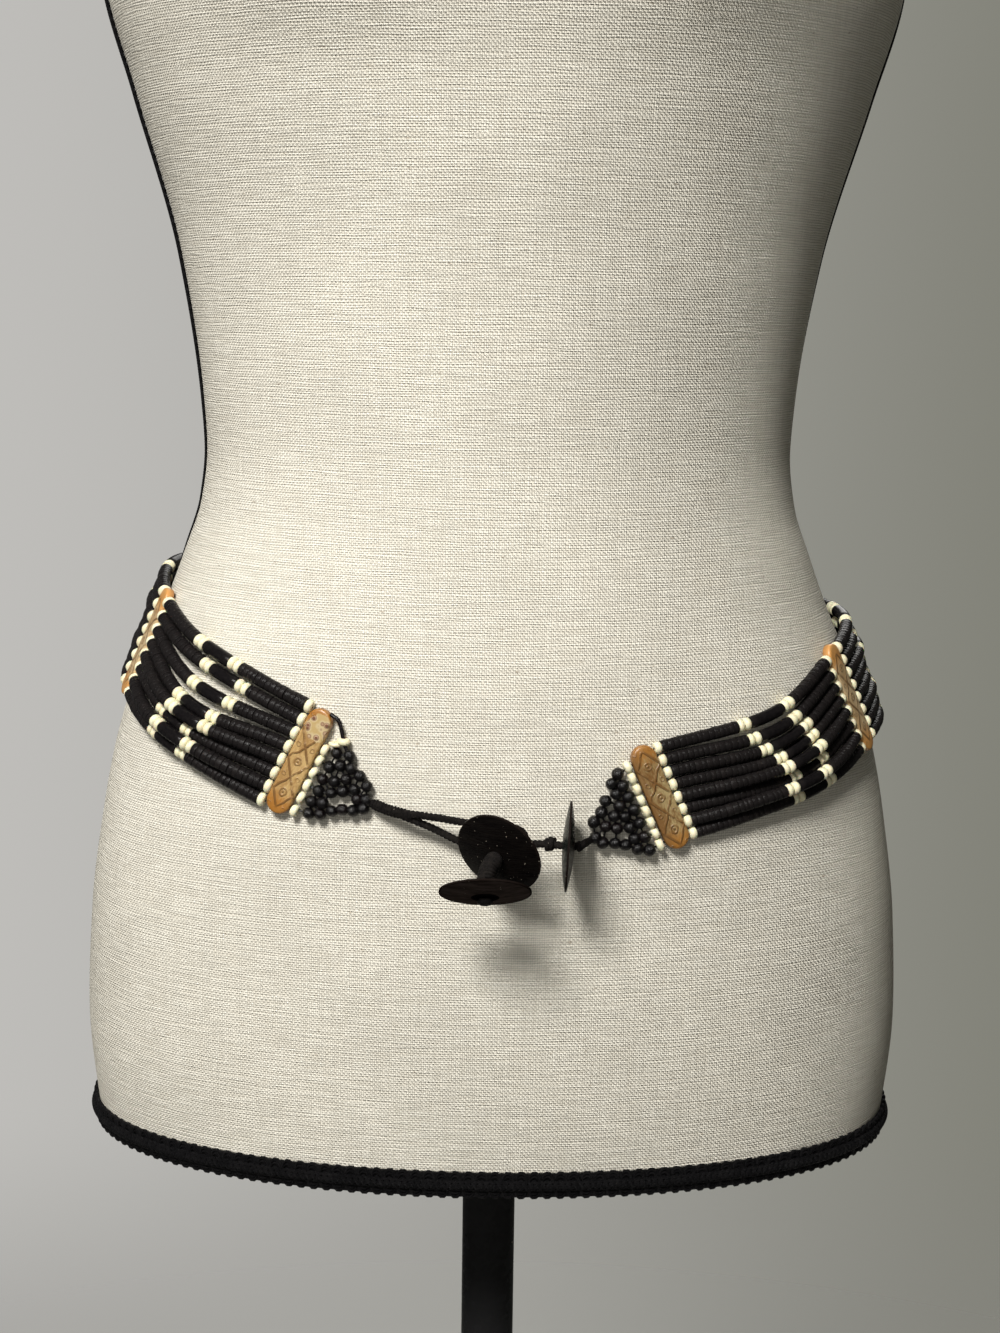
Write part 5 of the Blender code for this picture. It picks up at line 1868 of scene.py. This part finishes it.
    def build_toggle_cord(self) -> None:
        """Makes the cord from the right net through the edge disc and its knot to the upper disc."""
        start = self.right_apex + Vector((-self.bead_radius - 4 * SEAM_GAP + 1.4 * MM, -0.0004, -0.0010))
        edge, upper = self.spot(self.edge[0]), self.spot(self.upper[0])
        facing = Vector(self.upper[1])
        knot = self.spot(self.knot_spot)
        spots = [start, edge + Vector((0.0040, 0.0010, 0.0)), edge, edge + Vector((-0.0036, 0.0, 0.0004)),
                 knot, self.spot(self.past_knot), upper - facing * 5.5 * MM, upper - facing * 1.0 * MM]
        moulding = Moulding("toggle_cord_and_knots")
        self.cord(moulding, curved(spots, 12), [1.3 * MM, *[self.cord_radius] * 6, 1.5 * MM],
                  Lay(3, 5.0 * MM, 0.34, step=0.35 * MM))
        self.knot(moulding, knot, Vector((1.0, 0.15, 0.1)), self.knot_radius, 2.3)
        self.knot(moulding, edge + Vector((0.0043, 0.0006, 0.0)), Vector((1.0, 0.0, 0.1)), 2.1 * MM, 1.6)
        moulding.piece(self.waxed, Slot.CORD, "toggle_cord", sharp=60.0)

    def build_stem(self) -> None:
        """Makes the wrapped stem between the two toggle discs and the knot outside the lower one."""
        face_up, face_low = Vector(self.upper[1]).normalized(), Vector(self.lower[1]).normalized()
        away = self.disc_half + SEAM_GAP
        first, last = self.spot(self.upper[0]) + face_up * away, self.spot(self.lower[0]) - face_low * away
        bend = (last - first).length / 3
        controls = [first, first + face_up * bend, last - face_low * bend, last]
        line = []
        for i in range(31):
            t = i / 30
            weights = ((1 - t) ** 3, 3 * t * (1 - t) ** 2, 3 * t * t * (1 - t), t**3)
            line.append(sum((w * c for w, c in zip(weights, controls)), Vector()))
        moulding = Moulding("wrapped_stem")
        thin = self.stem_radius * 0.78
        self.cord(moulding, np.array(line), [thin, *[self.stem_radius] * 7, thin],
                  Lay(1, 1.3 * MM, 0.20, 36, 0.25 * MM), 0.5)
        moulding.piece(self.wrapping, Slot.CORD, "toggle_stem", sharp=60.0)
        foot = self.spot(self.lower[0]) + face_low * away
        end = Moulding("end_knot_of_cord")
        profile = [(1.5, 0.0), (2.2, 0.1), (2.7, 0.7), (2.8, 1.2), (2.4, 1.8), (1.5, 2.2), (0.5, 2.4)]
        turn = np.array(turned_to(face_low))
        rings = lathed([(radius * MM, height * MM) for radius, height in profile], 28)
        ripple = 1 + 0.07 * np.cos(5 * circle_turns(28)[None] + np.arange(len(profile))[:, None] * 1.1)
        rings[..., :2] *= ripple[..., None]
        end.rings(rings @ turn.T + np.array(foot))
        end.piece(self.wrapping, Slot.CORD, "end_knot", sharp=60.0)

    def build(self) -> None:
        """Makes the discs, the cords and the knots."""
        self.waxed = CordFinish().material()
        self.build_discs()
        self.build_loop()
        self.build_toggle_cord()
        self.wrapping = CordFinish("wrapping_cord", fineness=5.0).material()
        self.build_stem()


@dataclass
class BeadedBelt:
    """The whole belt: bars, strings, nets and fastening.

    Each row is a bar: its angle from the front, or 0 for the four at the back, which are spaced evenly, its
    strings' pitch and its half length in millimetres, and its turn in degrees.
    """

    form: FormShape
    rows: tuple[tuple[float, ...], ...] = (
        (-27.8, 5.65, 21.6, -4.5), (-75.5, 5.65, 23.4, 0.0), (0.0, 5.60, 23.0, 0.0), (0.0, 5.60, 23.0, 0.0),
        (0.0, 5.60, 23.0, 0.0), (0.0, 5.60, 23.0, 0.0), (68.2, 5.35, 22.8, 3.0), (23.0, 4.95, 20.6, 9.0),
    )
    left_net: tuple[Pair, ...] = (
        (5.5, 9.0), (10.1, 10.6), (5.2, 3.2), (8.6, 5.9), (12.6, 6.8), (5.2, -1.9), (9.3, -0.4),
        (12.8, 2.4), (16.6, 5.8), (5.8, -6.5), (10.2, -5.0), (13.6, -2.0), (17.1, 0.6), (20.6, 3.9),
        (5.2, -11.4), (9.0, -9.5), (19.9, -2.2), (6.3, -15.8), (10.3, -13.8), (13.4, -10.7), (16.8, -8.3),
        (20.5, -6.6), (23.2, -4.0),
    )
    right_net: tuple[Pair, ...] = (
        (5.4, 13.9), (9.0, 12.0), (5.4, 9.3), (9.1, 7.6), (13.5, 7.1), (16.5, 3.8), (20.4, 1.4), (5.3, 4.6),
        (9.2, 3.1), (5.2, -0.8), (12.9, 0.4), (9.2, -1.4), (17.0, -1.8), (13.4, -4.3), (9.2, -5.9),
        (5.2, -5.9), (5.3, -11.6), (8.8, -10.2), (20.2, -7.0), (16.4, -9.0), (12.8, -11.4), (9.1, -14.4),
        (5.3, -16.6),
    )

    def __post_init__(self) -> None:
        """Places the bars along the belt."""
        self.line = BeltLine(self.form)
        left, right = self.line.length_at(self.rows[1][0]), self.line.length_at(self.rows[6][0] - 360.0)
        lengths = [0.0, *(left + (right - left) * i / 5 for i in range(6)), float(self.line.lengths[-1])]
        self.bars = [SpacerBar(self.line, length, pitch * MM, half * MM, turn)
                     for length, (_, pitch, half, turn) in zip(lengths, self.rows)]

    def build(self) -> None:
        """Makes every piece of the belt."""
        self.build_bars()
        BeadStrings(self.line, self.bars).build()
        black, cream = NetBeadFinish().material(), CreamBeadFinish("cream_row_rondelles").material()
        strand = ((-3.2, 20.6), (0.6, 20.0), (3.4, 17.2), (5.8, 14.2), (8.0, 12.2), (10.1, 10.6))
        left = BeadNet(Side.LEFT, self.bars[0], -1.0, -17.2, 0.1528, self.left_net,
                       creams=(8.6, 4.2, -0.9, -6.2, -11.4, -17.0), strand=strand,
                       loose=((5.8, 14.2, 2.5), (3.4, 11.8, 1.8)))
        right = BeadNet(Side.RIGHT, self.bars[7], 1.0, 13.5, 0.1404, self.right_net,
                        creams=(15.4, 11.0, 6.6, 2.2, -2.3, -6.9, -11.4, -16.0))
        left.build(black, cream)
        right.build(black, cream)
        ToggleFastening(left.apex, right.apex).build()

    def build_bars(self) -> None:
        """Makes the eight bars, each with its own tone."""
        end_left = BoneFinish("bone_left_end", patch=(-1.6, 14.9), patch_radius=5.5)
        end_right = BoneFinish("bone_right_end", colour=(0.37, 0.28, 0.13), deep=(0.17, 0.08, 0.022),
                               tip=(0.33, 0.14, 0.025), shade_side=0.8)
        flank = BoneFinish("bone_side", colour=(0.62, 0.47, 0.27), deep=(0.46, 0.30, 0.14),
                           tip=(0.60, 0.28, 0.07))
        back = BoneFinish("bone_back", colour=(0.56, 0.36, 0.15), deep=(0.42, 0.22, 0.07))
        made = {finish.name: finish.material() for finish in (end_left, end_right, flank, back)}
        chosen = [end_left, flank, back, back, back, back, flank, end_right]
        for number, (bar, finish) in enumerate(zip(self.bars, chosen), 1):
            bar.build(number, made[finish.name])


# The studio


@dataclass
class Studio:
    """The pale floor, the soft lights and the camera at the photograph's angle."""

    floor_size: float = 60.0
    photo_width: float = 1000.0
    photo_height: float = 1333.0
    middle_pixel: float = 496.0
    focal_pixels: float = 2000.0
    sensor: float = 36.0
    belt_distance: float = 0.83
    camera_depth: float = -0.795
    camera_height: float = HEM_HEIGHT + 0.327
    camera_pitch: float = 80.0
    camera_roll: float = 0.8
    wall_left: Triple = (0.53, 0.52, 0.50)
    wall_right: Triple = (0.20, 0.20, 0.165)
    wall_light: float = 0.20
    key_spread: float = 56.0

    def build(self) -> None:
        """Sets up the floor, the lights, the world and the camera."""
        self.build_floor()
        self.build_lights()
        self.build_camera()

    def build_floor(self) -> None:
        """The floor."""
        half = self.floor_size / 2
        mesh = bpy.data.meshes.new("floor")
        corners = [(-half, -half, 0), (half, -half, 0), (half, half, 0), (-half, half, 0)]
        mesh.from_pydata(corners, [], [(0, 1, 2, 3)])
        mesh.materials.append(FloorFinish().material())
        floor = bpy.data.objects.new("floor", mesh)
        floor.location.z = -0.0005
        bpy.context.scene.collection.objects.link(floor)

    def build_lights(self) -> None:
        """Soft lights from above and the front, and an even pale world."""
        for name, spot, aim, size, power in (
                ("key", (-0.44, -1.10, 2.02), (-0.02, -0.1, 0.86), 0.50, 3.8),
                ("front", (-0.3, -2.2, 1.25), (0.0, 0.0, 0.95), 1.1, 6.1),
                ("rear", (0.5, 2.0, 2.2), (0.0, 0.0, 1.1), 1.6, 22.0)):
            data = bpy.data.lights.new(name, "AREA")
            data.shape, data.size, data.energy = "DISK", size, power
            data.color = (1.0, 0.985, 0.955)
            data.spread = math.radians(self.key_spread if name == "key" else 180.0)
            lamp = bpy.data.objects.new(name, data)
            lamp.location = spot
            lamp.rotation_euler = (Vector(aim) - Vector(spot)).to_track_quat("-Z", "Y").to_euler()
            bpy.context.scene.collection.objects.link(lamp)
        world = bpy.data.worlds.new("pale_room")
        world.use_nodes = True
        bench, final = Bench(world.node_tree), world.node_tree.nodes["World Output"]
        across = bench.split(bench.wire("ShaderNodeTexCoord", None, "Generated"))[0]
        wall = bench.mix(bench.ease(across, -0.32, 0.36), self.wall_left, self.wall_right)
        lit, seen = (bench.wire("ShaderNodeBackground", {"Color": wall, "Strength": strength})
                     for strength in (self.wall_light, 1.0))
        ray = bench.wire("ShaderNodeLightPath", None, "Is Camera Ray")
        bench.feed(final.inputs["Surface"], bench.wire("ShaderNodeMixShader", {0: ray, 1: lit, 2: seen}))
        bpy.context.scene.world = world
        bpy.context.scene.view_settings.view_transform = "Standard"

    def build_camera(self) -> None:
        """The camera that took the photograph."""
        data = bpy.data.cameras.new("camera")
        data.sensor_width, data.lens = self.sensor, self.focal_pixels / self.photo_height * self.sensor
        data.clip_start, data.clip_end = 0.05, 100.0
        aside = (self.photo_width / 2 - self.middle_pixel) / self.focal_pixels * self.belt_distance
        camera = bpy.data.objects.new("camera", data)
        camera.matrix_world = (Matrix.Translation((aside, self.camera_depth, self.camera_height))
                               @ Matrix.Rotation(math.radians(self.camera_pitch), 4, "X")
                               @ Matrix.Rotation(math.radians(self.camera_roll), 4, "Z"))
        bpy.context.scene.collection.objects.link(camera)
        bpy.context.scene.camera = camera


def clear_scene() -> None:
    """Removes the startup scene's objects."""
    for item in list(bpy.data.objects):
        bpy.data.objects.remove(item)


def main() -> None:
    """Builds the form, its stand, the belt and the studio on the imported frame."""
    logging.basicConfig(level=logging.INFO, format="%(name)s: %(message)s")
    clear_scene()
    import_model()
    Studio().build()
    shape = FormShape()
    Stand().build()
    DressForm(shape).build()
    BeadedBelt(shape).build()


if __name__ == "__main__":
    main()
